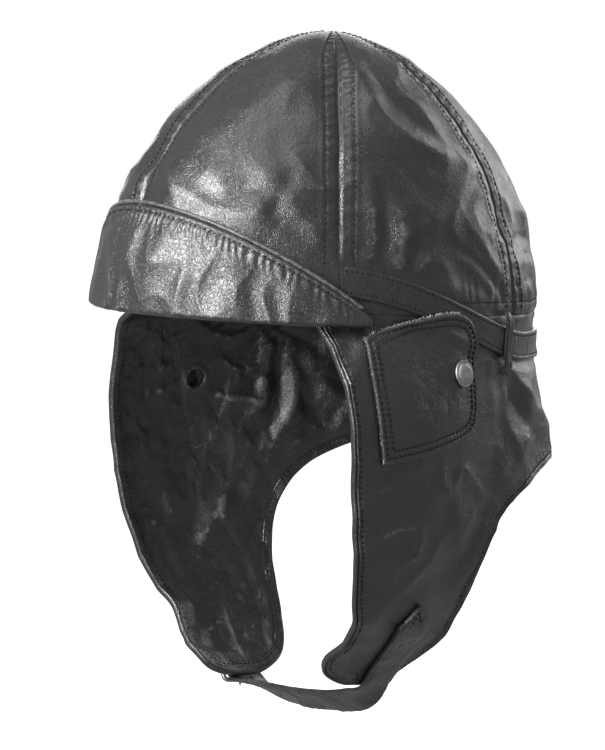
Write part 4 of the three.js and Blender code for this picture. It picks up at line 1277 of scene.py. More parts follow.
# The crown.
@dataclass(frozen=True)
class CrownPanel:
    """One of the crown's six gores, from seam to seam and from the brow to the apex."""

    name: str
    start: float
    end: float
    start_ridge: float
    end_ridge: float
    wall: float = 1.6
    apex_hole: float = 0.4
    stitch_from_seam: float = 6.0
    foot_row: float = 5.5
    allowance: float = 7.6
    seam_run: float = 165.0
    seam_gap: float = 0.08
    full_width: float = 42.0

    @property
    def apex_climb(self) -> float:
        """The climb at which the gores meet the small hole at the apex."""
        return 1 - 2 / math.pi * math.asin((self.apex_hole / FORM.radius) ** (FORM.fullness / 2))

    def width(self, climb: Array) -> Array:
        """The gore's width at a climb."""
        return np.radians(self.end - self.start) * FORM.radius * FORM.reach_at(climb)

    def room(self, width: Array) -> Array:
        """The share of its seams' relief that a gore of that width has room for."""
        return np.clip(width / self.full_width, 0.05, 1)

    def seam_side(self, distance: Array, run: Array, ridge: float, where: Array) -> Array:
        """The leather's rise beside a seam.

        Args:
            distance: from the seam, in millimetres.
            run: along the seam.
            ridge: how high the piped ridge beside the seam is.
            where: the points, for unevenness.

        Returns:
            The rise in millimetres.
        """
        high = 0.4 + 0.6 * smoothstep(run, 50, 120)
        gathered = puckers(run, 5.4, where, 3.2, 16) * bell(distance - 4.0, 2.3)
        return (
            groove(distance, 0, 0.75, 1.3)
            + ridge * (0.24 + 0.16 * RIPPLE(where / 5)) * bell(distance - 1.3, 0.6)
            + 0.38 * (1 - smoothstep(distance, self.allowance - 1, self.allowance + 1.2))
            + groove(distance, self.stitch_from_seam, 0.34, 0.9)
            + 0.42 * high * gathered
        )

    def surface(self, u: Array, v: Array, out: float) -> tuple[Array, Array, Array]:
        """Points of the gore.

        Args:
            u: the share of the way from the start seam to the end seam.
            v: the share of the way up.
            out: how far out from the leather's grain side.

        Returns:
            The points, the way out at each, and the relief there.
        """
        u, v = np.broadcast_arrays(u, v)
        climb = v * self.apex_climb
        margin = np.degrees(self.seam_gap / 2 / (FORM.half_width * FORM.reach_at(climb)))
        angle = lerp(self.start + margin, self.end - margin, u)
        base = FORM.crown_base(angle, climb)
        z = base[..., 2]
        outward = outward_of(FORM.crown_base, angle, np.clip(climb, 0.01, 0.99), 1.0, 0.005)
        width = self.width(climb)
        room = self.room(width)
        run = climb * self.seam_run
        around = FORM.mirrored(angle)
        sewn = self.seam_side(u * width / room, run, self.start_ridge, base)
        sewn = sewn + self.seam_side((1 - u) * width / room, run, self.end_ridge, base)
        hem = groove(z, 0, 0.6, 1.2) + groove(z, self.foot_row, 0.25, 0.9)
        hem = hem + 0.22 * puckers(angle, 2 / 0.55, base, 3, 12) * bell(z - 9, 6)
        fine = 0.15 * creases(base, 15.0, 0.09) * room
        free = FORM.quiet(around, z)
        relief = FORM.relief(angle, z, base) + (sewn * room + fine + hem * (around > 64)) * free
        return base + outward * (out + relief)[..., None], outward, relief

    def build(self, finish: bpy.types.Material) -> None:
        """Builds the gore.

        Args:
            finish: its material.
        """
        u = graded(72, (14, 0.085), (14, 0.085))[None, :]
        v = graded(176, (4, 0.016))[:, None]
        outer, _, relief = self.surface(u, v, 0.0)
        inner, _, _ = self.surface(coarse(u), coarse(v), -self.wall)
        shape = shell(outer, inner, rubbed(relief, 1.6, 0.25))
        add_piece(f"crown_gore_{self.name}", shape, finish, "helmet_leather", f"crown_panel_{self.name}")

    def stitches(self, seed: int) -> list[Shape]:
        """The gore's topstitching, up beside both seams and along its foot.

        Args:
            seed: of the stitches' unevenness.

        Returns:
            One shape for each row.
        """
        v = np.linspace(0.02, 0.965, 320)
        width = self.width(v * self.apex_climb)
        offset = self.stitch_from_seam * self.room(width) / width
        lines = [(offset, v), (1 - offset, v)]
        if self.start >= FORM.seams[1] and self.end <= FORM.seams[-2]:
            u = np.linspace(0.01, 0.99, 240)
            lines.append((u, np.full_like(u, 0.041)))
        surfaces = [self.surface(*line, 0.08) for line in lines]
        return [SEWING.row(points, out, seed + k) for k, (points, out, _) in enumerate(surfaces)]


class Crown:
    """The six gores and their topstitching."""

    PANELS = (
        CrownPanel("front_left", -7, 63, 0.5, 0.15),
        CrownPanel("side_left", 63, 120, 1.15, 0.8),
        CrownPanel("back_left", 120, 180, 0.9, 0.4),
        CrownPanel("back_right", 180, 240, 0.4, 0.9),
        CrownPanel("side_right", 240, 297, 0.8, 1.15),
        CrownPanel("front_right", 297, 353, 0.15, 0.5),
    )

    def build(self, wardrobe: Wardrobe) -> None:
        """Builds the gores, then their stitches as one piece.

        Args:
            wardrobe: the finishes.
        """
        rows = []
        for k, panel in enumerate(self.PANELS):
            panel.build(wardrobe.hide)
            rows += panel.stitches(SEEDS["crown"] + 10 * k)
        add_piece("crown_topstitching", joined(rows), wardrobe.thread, "helmet_leather")


# The curtain.
# The turned edge's section: inset from the free edge, then out from the skin.
EDGE_PROFILE = np.array([
    [1.45, -0.75], [1.25, -0.15], [0.85, 0.16], [0.40, 0.05], [0.08, -0.45], [0.0, -1.30], [0.06, -2.20],
    [0.35, -2.85], [0.90, -3.12], [1.50, -3.00], [2.30, -3.10], [3.00, -3.12], [3.50, -2.92],
    [4.00, -3.10], [4.38, -3.02], [4.45, -2.70], [4.0, -1.45], [1.6, -1.35],
])


@dataclass(frozen=True)
class Curtain:
    """One ear flap with half the nape: an outer skin, a turned edge and a lining."""

    side: Side
    outer_wall: float = 1.2
    lining_wall: float = 1.0
    layer_gap: float = 0.5
    skin_inset: float = 1.6
    band: float = 4.6
    stitch_inset: float = 3.5
    band_out: float = -3.02
    hole_radius: float = 4.4
    hole_angle: float = 88.0
    hole_drop: float = 43.0
    hole_depth: float = 12.0
    top_spread: float = 1.85
    row_spread: float = 1.35

    @cached_property
    def curve(self) -> Line:
        """The free edge laid out flat."""
        flat = np.radians(1) * FORM.radius
        return Line(FREE_EDGE * np.array([flat, FORM.flap_drop]))

    def edge(self, share: Array, inset: float) -> tuple[Array, Array]:
        """Spots along the free edge, moved into the leather.

        Args:
            share: of the edge's length.
            inset: how far in.

        Returns:
            The angle and the drop of each spot.
        """
        flat = np.radians(1) * FORM.radius
        here, along = self.curve.at(share), self.curve.tangent(share)
        angle = here[..., 0] / flat
        reach = FORM.curtain_reach(angle, here[..., 1] / FORM.flap_drop)
        inward = unit(np.stack([along[..., 1], -along[..., 0] * reach], axis=-1))
        return angle + inward[..., 0] * inset / (flat * reach), here[..., 1] + inward[..., 1] * inset

    def spot(self, u: Array, v: Array, inset: float) -> tuple[Array, Array]:
        """Spots of the patch between the curtain's four edges.

        Args:
            u: round from the free edge to the back.
            v: down from the brow.
            inset: from the free edge.

        Returns:
            The angle and the drop of each spot.
        """
        u, v = np.broadcast_arrays(u, v)
        v = v ** self.row_spread
        toe_share = self.curve.share_at(TOE)
        brow, toe, hem = (self.edge(np.array(share), inset) for share in (0.0, toe_share, 1.0))
        front_angle, front_drop = self.edge(toe_share * v, inset)
        front_drop = front_drop + (GAP - brow[1]) * (1 - v) ** 4
        low_angle, low_drop = self.edge(lerp(toe_share, 1, u), inset)
        low_angle = low_angle + (180 - hem[0]) * u ** 8
        top_angle = lerp(brow[0], 180, u ** self.top_spread)
        corner_angle = (1 - u) * (1 - v) * brow[0] + (1 - u) * v * toe[0] + u * 180
        corner_drop = (1 - v) * GAP + v * lerp(toe[1], hem[1], u)
        angle = (1 - v) * top_angle + v * low_angle + (1 - u) * front_angle + u * 180 - corner_angle
        drop = (1 - v) * GAP + v * low_drop + (1 - u) * front_drop + u * lerp(GAP, hem[1], v) - corner_drop
        return angle - np.degrees(GAP / 2 / FORM.half_width) * u, drop

    def point(self, angle: Array, drop: Array, out: Array) -> tuple[Array, Array, Array]:
        """Points out from the flap's skin, relief and sag included.

        Args:
            angle: round the head.
            drop: below the brow.
            out: beyond the relief.

        Returns:
            The points, the way out, and the relief.
        """
        angle, drop = np.broadcast_arrays(angle, drop)
        base = FORM.base(angle, -drop)
        outward = FORM.outward(angle, -drop)
        relief = FORM.relief(angle, -drop, base * self.side.mirror)
        points = (base + outward * (relief + out)[..., None]) * self.side.mirror
        if self.side is Side.RIGHT:
            points[..., 2] -= FORM.right_sag * smoothstep(drop, FORM.sag_start, FORM.flap_drop)
        return points, outward * self.side.mirror, relief

    @cached_property
    def border(self) -> Array:
        """The free edge on the skin, before relief."""
        angle, drop = self.edge(np.linspace(0.004, 1, 1100), 0.0)
        return FORM.base(angle, -drop)

    def sewn_rise(self, inset: Array, run: Array, where: Array) -> Array:
        """The rise of the outer skin beside its sewn edge.

        Args:
            inset: the distance from the edge.
            run: the distance along it.
            where: the points, for unevenness.

        Returns:
            The rise in millimetres.
        """
        return (
            rounded(inset - self.skin_inset, 0.55, 0.8)
            + 0.18 * bell(inset - 2.4, 0.7)
            + groove(inset, self.stitch_inset, 0.36, 0.65)
            + 0.14 * puckers(run, 4.6, where, 3, 14) * bell(inset - 5.0, 2.4)
        )

    def build_skin(self, finish: bpy.types.Material) -> None:
        """Builds the outer skin.

        Args:
            finish: its material.
        """
        u = graded(224, (16, 0.026))[None, :]
        v = graded(152, (4, 0.012), (12, 0.032))[:, None]
        angle, drop = self.spot(u, v, self.skin_inset)
        base = FORM.base(angle, -drop)
        inset, run = nearest(base, self.border)
        base = base * self.side.mirror
        detail = self.sewn_rise(inset, run, base) + groove(drop, 0, 0.5, 1.2)
        detail = detail + 0.16 * creases(base, 15.0, 0.09) * FORM.quiet(np.abs(angle), -drop)
        outer, _, relief = self.point(angle, drop, detail)
        inner, _, _ = self.point(coarse(angle), coarse(drop), np.array(-self.outer_wall))
        mark = rubbed(relief + detail, 1.5, 0.22 + 0.5 * (inset < 2.2))
        add_piece(f"flap_skin_{self.side.label}", self.drilled(shell(outer, inner, mark)), finish,
                  "helmet_leather", f"curtain_{self.side.label}")

    def drilled(self, shape: Shape) -> Shape:
        """Draws the faces over the ear hole back to a round hole.

        Args:
            shape: a layer of the curtain.

        Returns:
            The same shape.
        """
        centre, outward, _ = self.point(np.array(self.hole_angle), np.array(self.hole_drop), np.array(0.0))
        away = shape.points - centre
        depth = away @ outward
        flat = away - depth[:, None] * outward
        distance = np.linalg.norm(flat, axis=1)
        near = np.abs(depth) < self.hole_depth
        inside = near & (distance < self.hole_radius)
        shape.faces = [faces[~inside[faces].all(axis=1)] for faces in shape.faces]
        grow = np.where(inside, self.hole_radius / np.maximum(distance, 0.4), 1.0)
        shape.points = shape.points + flat * (grow - 1)[:, None]
        return shape

    def build_lining(self, finish: bpy.types.Material) -> None:
        """Builds the lining, its inner face wrinkled.

        Args:
            finish: its material.
        """
        u = graded(164, (8, 0.02))[None, :]
        v = graded(120, (0, 0.0), (8, 0.03))[:, None]
        angle, drop = self.spot(u, v, self.band)
        base = FORM.base(angle, -drop)
        inset, _ = nearest(base, self.border)
        free = smoothstep(inset - self.band, 0.5, 7.0) * smoothstep(drop, 2, 14)
        folds = fold_relief(warped(base, 2.0, 20.0), FORM.lining_lines)
        around_hole = np.linalg.norm(base - FORM.base(self.hole_angle, -self.hole_drop), axis=-1)
        base = base * self.side.mirror
        bent = warped(base, 4.0, 18.0)
        wrinkles = 0.55 * ridged(CREASE, bent, 15, 0.8, 2.4) + 0.3 * ridged(RIPPLE, bent, 7.5, 0.6, 2)
        rise = (1.3 * folds + wrinkles) * free * smoothstep(around_hole, 5, 12)
        rise = rise + 0.7 * bell(around_hole - self.hole_radius - 1.0, 1.2)
        rise = rise + 0.5 * creases(base, 9.0, 0.16) * free
        hidden = self.outer_wall + self.layer_gap
        inner, _, _ = self.point(angle, drop, -hidden - self.lining_wall - np.maximum(rise, -0.6))
        outer, _, _ = self.point(coarse(angle), coarse(drop), np.array(-hidden))
        shape = self.drilled(shell(inner, outer, rubbed(rise, 1.6, 0.2)))
        add_piece(f"flap_lining_{self.side.label}", shape, finish,
                  "lining_leather", f"curtain_lining_{self.side.label}")

    def build_edge(self, finish: bpy.types.Material) -> None:
        """Builds the turned edge: a bead outside and a flat band inside.

        Args:
            finish: its material.
        """
        share = np.linspace(0.012, 1.0, 640)
        rings = []
        for inset, out in EDGE_PROFILE:
            angle, drop = self.edge(share, inset)
            lumps = 0.07 * RIPPLE(FORM.base(angle, -drop) / 9)
            rings.append(self.point(angle, drop, out + lumps)[0])
        shape = tube(np.stack(rings, axis=1))
        shape.marks["worn"] = np.tile(np.where(EDGE_PROFILE[:, 0] < 1.4, 0.62, 0.3), len(share))
        add_piece(f"flap_turned_edge_{self.side.label}", shape, finish,
                  "helmet_leather", f"curtain_edge_{self.side.label}", sharp=60)

    def stitches(self, seed: int) -> list[Shape]:
        """The row round the free edge, outside and inside.

        Args:
            seed: of the stitches' unevenness.

        Returns:
            One shape for each face.
        """
        share = np.linspace(0.02, 0.999, 1500)
        angle, drop = self.edge(share, self.stitch_inset)
        run = share * self.curve.length
        rise = self.sewn_rise(np.full_like(run, self.stitch_inset), run, FORM.base(angle, -drop))
        outside, outward, _ = self.point(angle, drop, rise + 0.1)
        inside, _, _ = self.point(angle, drop, np.array(self.band_out))
        return [SEWING.row(outside, outward, seed), SEWING.row(inside, -outward, seed + 1)]

    def build(self, wardrobe: Wardrobe) -> None:
        """Builds the flap's layers and stitches.

        Args:
            wardrobe: the finishes.
        """
        self.build_skin(wardrobe.hide)
        self.build_lining(wardrobe.lining)
        self.build_edge(wardrobe.hide)
        rows = joined(self.stitches(SEEDS["flap"] + 10 * self.side.value))
        add_piece(f"flap_stitching_{self.side.label}", rows, wardrobe.thread, "helmet_leather")


# The peak.
@dataclass(frozen=True)
class Peak:
    """The turned-up peak: a short inner leg, a fold below and a tall crackled face with a piped edge."""

    wall: float = 2.0
    standoff: float = 2.9
    fold_drop: float = 6.0
    piping: float = 0.9
    fold_share: float = 0.35
    stitch_drop: float = 2.3

    @property
    def trim(self) -> float:
        """How far the leather stops short of the peak's edge, to make room for the piping."""
        return 2 * self.piping + GAP

    def section(self, angle: Array, v: Array, trim: float) -> tuple[Array, Array]:
        """The middle of the peak's section.

        Args:
            angle: round the head.
            v: 0 at the inner leg, 1 at the top edge.
            trim: how far short of the edge it stops.

        Returns:
            The distance out from the crown, and the height.
        """
        share = np.clip(np.abs(angle) / FORM.visor_span, 0, 1)
        standoff = lerp(self.standoff, self.wall + 2 * GAP, share ** 4) + self.wall / 2
        leg = self.wall / 2 + GAP
        radius = (standoff - leg) / 2
        centre = radius + self.wall / 2 - self.fold_drop
        turn = math.pi * np.clip(v / self.fold_share, 0, 1)
        rising = np.clip((v - self.fold_share) / (1 - self.fold_share), 0, 1)
        top = np.maximum(centre + 1, FORM.visor_rise(angle) - trim)
        out = leg + radius * (1 - np.cos(turn))
        folded = centre - radius * np.sin(turn)
        return out, np.where(v < self.fold_share, folded, lerp(centre, top, rising))

    def surface(
        self, angle: Array, v: Array, side: float, trim: float, rise: Array | float = 0.0
    ) -> tuple[Array, Array]:
        """Points of the peak.

        Args:
            angle: round the head.
            v: 0 at the inner leg, 1 at the top edge.
            side: 0 for its inner face, 1 for its outer face.
            trim: how far short of the edge it stops.
            rise: extra height over that face.

        Returns:
            The points, and the way out of the face.
        """
        angle, v = np.broadcast_arrays(angle, v)
        out, z = self.section(angle, v, trim)
        before = self.section(angle, np.maximum(v - 0.01, 0), trim)
        after = self.section(angle, np.minimum(v + 0.01, 1), trim)
        run = unit(np.stack([after[0] - before[0], after[1] - before[1]], axis=-1))
        shift = (side - 0.5) * self.wall + rise
        height = z - run[..., 0] * shift
        around = unit(FORM.base(angle + 1, 0.0) - FORM.base(angle - 1, 0.0))
        level = np.stack([around[..., 1], -around[..., 0], 0 * angle], axis=-1)
        points = FORM.base(angle, np.maximum(height, 0)) + level * (out + run[..., 1] * shift)[..., None]
        points[..., 2] = height
        normal = level * run[..., 1:2]
        normal[..., 2] = -run[..., 0]
        return points, normal

    def rise(self, angle: Array, v: Array) -> Array:
        """The outer face's relief: broad soft folds, crackle, and the pull of its stitched edge.

        Args:
            angle: round the head.
            v: 0 at the inner leg, 1 at the top edge.

        Returns:
            The rise in millimetres.
        """
        angle, v = np.broadcast_arrays(angle, v)
        points, _ = self.surface(angle, v, 1, self.trim)
        below = np.maximum(FORM.visor_rise(angle) - self.trim - points[..., 2], 0)
        run = np.radians(angle) * FORM.radius
        bent = warped(points, 6, 30)
        upright = bent * np.array([1.0, 1.0, 0.45])
        broad = 1.9 * SWELL(upright / 15) + 0.8 * ridged(WRINKLE, upright, 13, 0.7, 2)
        broad = broad + 0.10 * RIPPLE(bent / 7)
        broad = broad * smoothstep(below, 2, 12) * smoothstep(FORM.visor_rise(angle), 4, 16)
        broad = broad + 0.12 * creases(points, 10.0, 0.09)
        sewn = (
            rounded(below, 0.5, 0.8)
            + groove(below, self.stitch_drop, 0.42, 0.8)
            + 0.30 * puckers(run, 3.7, points, 3.0, 9) * bell(below - self.stitch_drop - 2.2, 3.2)
        )
        return (broad + sewn * smoothstep(FORM.visor_rise(angle), 3, 12)) * smoothstep(v, 0.15, 0.36)

    def build(self, wardrobe: Wardrobe) -> None:
        """Builds the peak, its piped edge and its stitches.

        Args:
            wardrobe: the finishes.
        """
        span = FORM.visor_span
        angle = lerp(-span, span, graded(296, (12, 0.03), (12, 0.03)))[None, :]
        folded = np.linspace(0, self.fold_share, 21)[:-1]
        face = self.fold_share + (1 - self.fold_share) * graded(54, (0, 0), (10, 0.1))
        v = np.concatenate([folded, face])[:, None]
        rise = self.rise(angle, v)
        outer, _ = self.surface(angle, v, 1, self.trim, rise)
        inner, _ = self.surface(coarse(angle), coarse(v), 0, self.trim)
        add_piece("peak_face", shell(outer, inner, rubbed(rise, 1.8, 0.32)), wardrobe.peak,
                  "visor_leather", "visor")
        turn = np.linspace(-0.965, 0.965, 420) * span
        path, _ = self.surface(turn, np.ones_like(turn), 0.5, self.piping)
        lumps = self.piping * (1 + 0.10 * RIPPLE(path / 5))
        edge = tube(rings_along(path, lumps, 10, np.array([0.0, 0.0, 1.0])))
        edge.marks["worn"] = np.full(len(edge.points), 0.95)
        add_piece("peak_piping", edge, wardrobe.peak, "visor_leather", "visor_piping")
        turn = np.linspace(-0.93, 0.93, 900) * span
        top = FORM.visor_rise(turn) - self.trim
        foot = self.section(turn, np.full_like(turn, self.fold_share), self.trim)[1]
        share = np.clip((top - self.stitch_drop - foot) / np.maximum(top - foot, 1), 0.05, 1)
        row = self.fold_share + (1 - self.fold_share) * share
        points, normal = self.surface(turn, row, 1, self.trim, self.rise(turn, row) + 0.12)
        stitches = SEWING.row(points, normal, SEEDS["peak"])
        add_piece("peak_stitching", stitches, wardrobe.thread, "visor_leather")


# Ear covers, belt and loops.
# Columns: across from the front edge, then the top and the bottom as shares of the height.
COVER_OUTLINE = np.array([
    [0.00, 0.190, 1.000], [0.15, 0.130, 0.985], [0.35, 0.060, 0.955], [0.60, 0.010, 0.905],
    [0.76, 0.000, 0.870], [0.88, 0.025, 0.825], [0.96, 0.090, 0.755], [1.00, 0.190, 0.640],
])


@dataclass(frozen=True)
class EarFittings:
    """What is sewn over one ear: the cover and its snap, the belt and the loop that keeps it."""

    side: Side
    cover_wall: float = 1.3
    cover_front: float = 69.5
    cover_width: float = 65.0
    cover_height: float = 63.0
    cover_lean: float = 8.0
    cover_top: float = 1.0
    cover_out: float = 0.75
    cover_rows: tuple[float, float] = (2.4, 5.2)
    belt_wall: float = 1.6
    belt_row: float = 1.9
    belt_start: float = 63.6
    loop_width: float = 4.6
    loop_wall: float = 1.2
    loop_length: float = 27.0
    loop_angle: float = 115.5
    snap_radius: float = 6.0
    snap_height: float = 2.4
    snap_from_rear: float = 11.5
    snap_drop: float = 25.0
    hairs: int = 260

    @property
    def cover_degree(self) -> float:
        """Millimetres to a degree at the middle of the cover."""
        reach = FORM.curtain_reach(np.array(STATIONS[1]), np.array(self.cover_height / 2 / FORM.flap_drop))
        return float(np.radians(1) * FORM.half_depth * reach)

    def point(self, angle: Array, z: Array, out: Array) -> tuple[Array, Array]:
        """Points out from the helmet's leather.

        Args:
            angle: round the head.
            z: the height.
            out: beyond the relief.

        Returns:
            The points, and the way out.
        """
        angle, z = np.broadcast_arrays(angle, z)
        base, outward = FORM.base(angle, z), FORM.outward(angle, z)
        relief = FORM.relief(angle, z, base * self.side.mirror)
        return (base + outward * (relief + out)[..., None]) * self.side.mirror, outward * self.side.mirror

    def lift(self, angle: Array, z: Array) -> Array:
        """How far a piece is lifted to pass over the belt."""
        past = np.abs(z - FORM.belt_line(angle)) - FORM.belt_width / 2
        return (self.belt_wall + GAP) * (1 - smoothstep(past, 3, 9))

    def cover_spot(self, u: Array, v: Array) -> tuple[Array, Array]:
        """Spots of the cover.

        Args:
            u: the share of the way back.
            v: the share of the way down.

        Returns:
            Their angles and heights.
        """
        across = np.sin(u * math.pi / 2)
        top, bottom = (through(COVER_OUTLINE[:, 0], COVER_OUTLINE[:, k], across) for k in (1, 2))
        z = self.cover_top - lerp(top, bottom, v) * self.cover_height
        back = across * self.cover_width + self.cover_lean * v * (1 - across)
        return self.cover_front + back / self.cover_degree, z

    @cached_property
    def cover_border(self) -> Array:
        """The cover's outline on the skin, in order round it."""
        return FORM.base(*self.cover_spot(*round_patch(260)))

    def build_cover(self, wardrobe: Wardrobe) -> None:
        """Builds the cover with its two sewn rows and the fibres of its raw front edge.

        Args:
            wardrobe: the finishes.
        """
        u = graded(80, (12, 0.05), (12, 0.16))[None, :]
        v = graded(80, (12, 0.08), (12, 0.08))[:, None]
        angle, z = self.cover_spot(*np.broadcast_arrays(u, v))
        base = FORM.base(angle, z)
        inset, run = nearest(base, self.cover_border)
        gathered = puckers(run, SEWING.pitch, base, 2, 9) * bell(inset - 4.0, 3.0)
        base = base * self.side.mirror
        soft = 0.35 * crumple(base + 200.0) + 0.30 * creases(base, 9.0, 0.16)
        rise = (
            rounded(inset, 0.5, 0.7)
            + groove(inset, self.cover_rows[0], 0.32, 0.6)
            + groove(inset, self.cover_rows[1], 0.30, 0.6)
            + 0.12 * bell(inset - 3.8, 0.7)
            + 0.14 * gathered
            + 0.7 * smoothstep(inset, 5, 16)
            + soft * smoothstep(inset, 3, 12)
        )
        back = self.cover_out + self.lift(angle, z)
        outer, _ = self.point(angle, z, back + self.cover_wall + rise)
        inner, _ = self.point(coarse(angle), coarse(z), coarse(back))
        raw = (inset < 0.8) & ((u < 0.04) | ((v < 0.05) & (u < 0.55)))
        shape = shell(outer, inner, rubbed(rise, 1.7, 0.25 + 0.75 * raw, most=1.6))
        add_piece(f"ear_cover_leather_{self.side.label}", shape, wardrobe.hide,
                  "helmet_leather", f"ear_cover_{self.side.label}")
        seed = SEEDS["cover"] + self.side.value
        rows = joined([self.cover_row(row, seed + 20 * k) for k, row in enumerate(self.cover_rows)])
        add_piece(f"ear_cover_stitching_{self.side.label}", rows, wardrobe.thread, "helmet_leather")
        self.build_fray(wardrobe.fray)

    def cover_row(self, distance: float, seed: int) -> Shape:
        """One sewn row round the cover.

        Args:
            distance: in from the outline.
            seed: of the stitches' unevenness.

        Returns:
            The row's stitches.
        """
        angle, z = self.cover_spot(*round_patch(400))
        outline = np.stack([angle * self.cover_degree, z], axis=-1)
        runs = run_along(outline)
        keep = np.concatenate([[True], np.diff(runs) > 1e-6])
        path = read_off(np.linspace(0.0, 1.0, 900) * runs[-1], runs[keep], outline[keep])
        ahead = unit(np.roll(path, -9, axis=0) - np.roll(path, 9, axis=0))
        inward = np.stack([ahead[:, 1], -ahead[:, 0]], axis=-1)
        inward *= np.sign(np.sum(inward * (path.mean(axis=0) - path), axis=1).mean())
        path = path + inward * distance
        near = np.linalg.norm(path[:, None] - outline[None, ::4], axis=-1).min(axis=1)
        path = path[near > distance - 0.35]
        angle, z = path[:, 0] / self.cover_degree, path[:, 1]
        points, outward = self.point(angle, z, self.cover_out + self.lift(angle, z) + self.cover_wall - 0.12)
        return SEWING.row(points, outward, seed)

    def build_fray(self, finish: bpy.types.Material) -> None:
        """Builds the loose fibres of the cover's raw front and top edge.

        Args:
            finish: their material.
        """
        rng = np.random.default_rng(SEEDS["fray"] + self.side.value)
        middle, _ = self.point(*self.cover_spot(np.array(0.5), np.array(0.5)), np.array(1.0))
        t = np.array([-0.3, 0.35, 0.7, 1.0])[:, None]
        radii = np.array([0.12, 0.10, 0.07, 0.03])
        hairs = []
        for _ in range(self.hairs):
            if rng.random() < 0.8:
                u, v = rng.uniform(0, 0.6), 0.0
            else:
                u, v = 0.0, rng.uniform(0, 1)
            angle, z = self.cover_spot(np.array(u), np.array(v))
            root, outward = self.point(angle, z, self.cover_out + self.lift(angle, z) + rng.uniform(0.2, 1.2))
            away = unit(unit(root - middle) + rng.normal(0, 0.5, 3))
            length = rng.uniform(0.4, 1.2)
            bend = unit(np.cross(away, outward) * rng.normal() + outward * 0.4)
            path = root + away * t * length + bend * (t ** 2) * length * 0.35
            hairs.append(tube(rings_along(path, radii, 3, outward)))
        add_piece(f"ear_cover_frayed_edge_{self.side.label}", joined(hairs), finish, "helmet_leather")

    def belt(self, u: Array, v: Array, out: float) -> tuple[Array, Array, Array]:
        """Points of the belt's face.

        Args:
            u: the share of the way from the front seam to the middle of the nape.
            v: the share of the way up.
            out: from its back face.

        Returns:
            The points, the way out, and the relief.
        """
        u, v = np.broadcast_arrays(u, v)
        angle = lerp(self.belt_start, 180 - np.degrees(GAP / 2 / FORM.half_width), u)
        z = FORM.belt_line(angle) + (v - 0.5) * FORM.belt_width
        inset = np.minimum(v, 1 - v) * FORM.belt_width
        base = FORM.base(angle, z) * self.side.mirror
        rise = rounded(inset, 0.45, 0.7) + groove(inset, self.belt_row, 0.22, 0.5)
        rise = rise + 0.22 * SWELL(base / 17) + 0.22 * creases(base, 8.0, 0.16)
        points, outward = self.point(angle, z, GAP + out + (rise if out > 0 else 0 * rise))
        return points, outward, rise

    def build_belt(self, wardrobe: Wardrobe) -> None:
        """Builds the belt from the front seam to the middle of the nape, with its stitched edges.

        Args:
            wardrobe: the finishes.
        """
        u = np.linspace(0, 1, 241)[None, :]
        v = graded(12, (4, 0.12), (4, 0.12))[:, None]
        outer, _, rise = self.belt(u, v, self.belt_wall)
        inner, _, _ = self.belt(coarse(u), coarse(v), 0.0)
        shape = shell(outer, inner, rubbed(rise, 1.6, 0.4, 6))
        add_piece(f"neck_belt_{self.side.label}", shape, wardrobe.hide,
                  "helmet_leather", f"belt_{self.side.label}")
        run = np.linspace(0.004, 0.996, 1200)
        rows = []
        for k, across in enumerate((self.belt_row, FORM.belt_width - self.belt_row)):
            share = np.full_like(run, across / FORM.belt_width)
            points, outward, _ = self.belt(run, share, self.belt_wall + 0.1)
            rows.append(SEWING.row(points, outward, SEEDS["belt"] + k + 2 * self.side.value))
        add_piece(f"neck_belt_stitching_{self.side.label}", joined(rows), wardrobe.thread, "helmet_leather")

    def build_loop(self, wardrobe: Wardrobe) -> None:
        """Builds the folded loop that holds the belt down, ragged at its foot.

        Args:
            wardrobe: the finishes.
        """
        width = self.loop_width / (np.radians(1) * FORM.radius)
        u, v = np.broadcast_arrays(graded(8, (4, 0.2), (4, 0.2))[None, :], np.linspace(0, 1, 73)[:, None])
        ragged = 0.06 * RIPPLE(np.stack([u * 6.1, 0 * u, 4 + 0 * u], axis=-1))
        angle = self.loop_angle + (u - 0.5) * width * (1 + 0.04 * np.sin(v * 9))
        z = self.cover_top - v * self.loop_length * (1 + ragged * v ** 4)
        inset = np.minimum(u, 1 - u) * self.loop_width
        base = FORM.base(angle, z) * self.side.mirror
        rise = rounded(inset, 0.5, 0.9) + 0.25 * bell(inset - 1.3, 0.6) + 0.2 * RIPPLE(base / 4)
        lift = GAP + self.lift(angle, z)
        outer, _ = self.point(angle, z, lift + self.loop_wall + rise)
        inner, _ = self.point(coarse(angle), coarse(z), coarse(lift))
        shape = shell(outer, inner, rubbed(rise, 1.0, 0.45, 4))
        add_piece(f"belt_keeper_{self.side.label}", shape, wardrobe.hide,
                  "helmet_leather", f"belt_loop_{self.side.label}")

    def build_snap(self, wardrobe: Wardrobe) -> None:
        """Builds the pressed cap of the snap, with its rolled rim and shallow dish.

        Args:
            wardrobe: the finishes.
        """
        angle = self.cover_front + (self.cover_width - self.snap_from_rear) / self.cover_degree
        out = self.cover_out + self.cover_wall + GAP
        centre, outward = self.point(np.array(angle), np.array(-self.snap_drop), np.array(out + 0.3))
        cap = turned_cap(centre, outward, self.snap_radius, self.snap_height)
        add_piece(f"ear_snap_cap_{self.side.label}", cap, wardrobe.nickel,
                  "dull_nickel", f"ear_snap_{self.side.label}", sharp=35)

    def build(self, wardrobe: Wardrobe) -> None:
        """Builds the fittings of this side.

        Args:
            wardrobe: the finishes.
        """
        self.build_cover(wardrobe)
        self.build_belt(wardrobe)
        self.build_loop(wardrobe)
        self.build_snap(wardrobe)


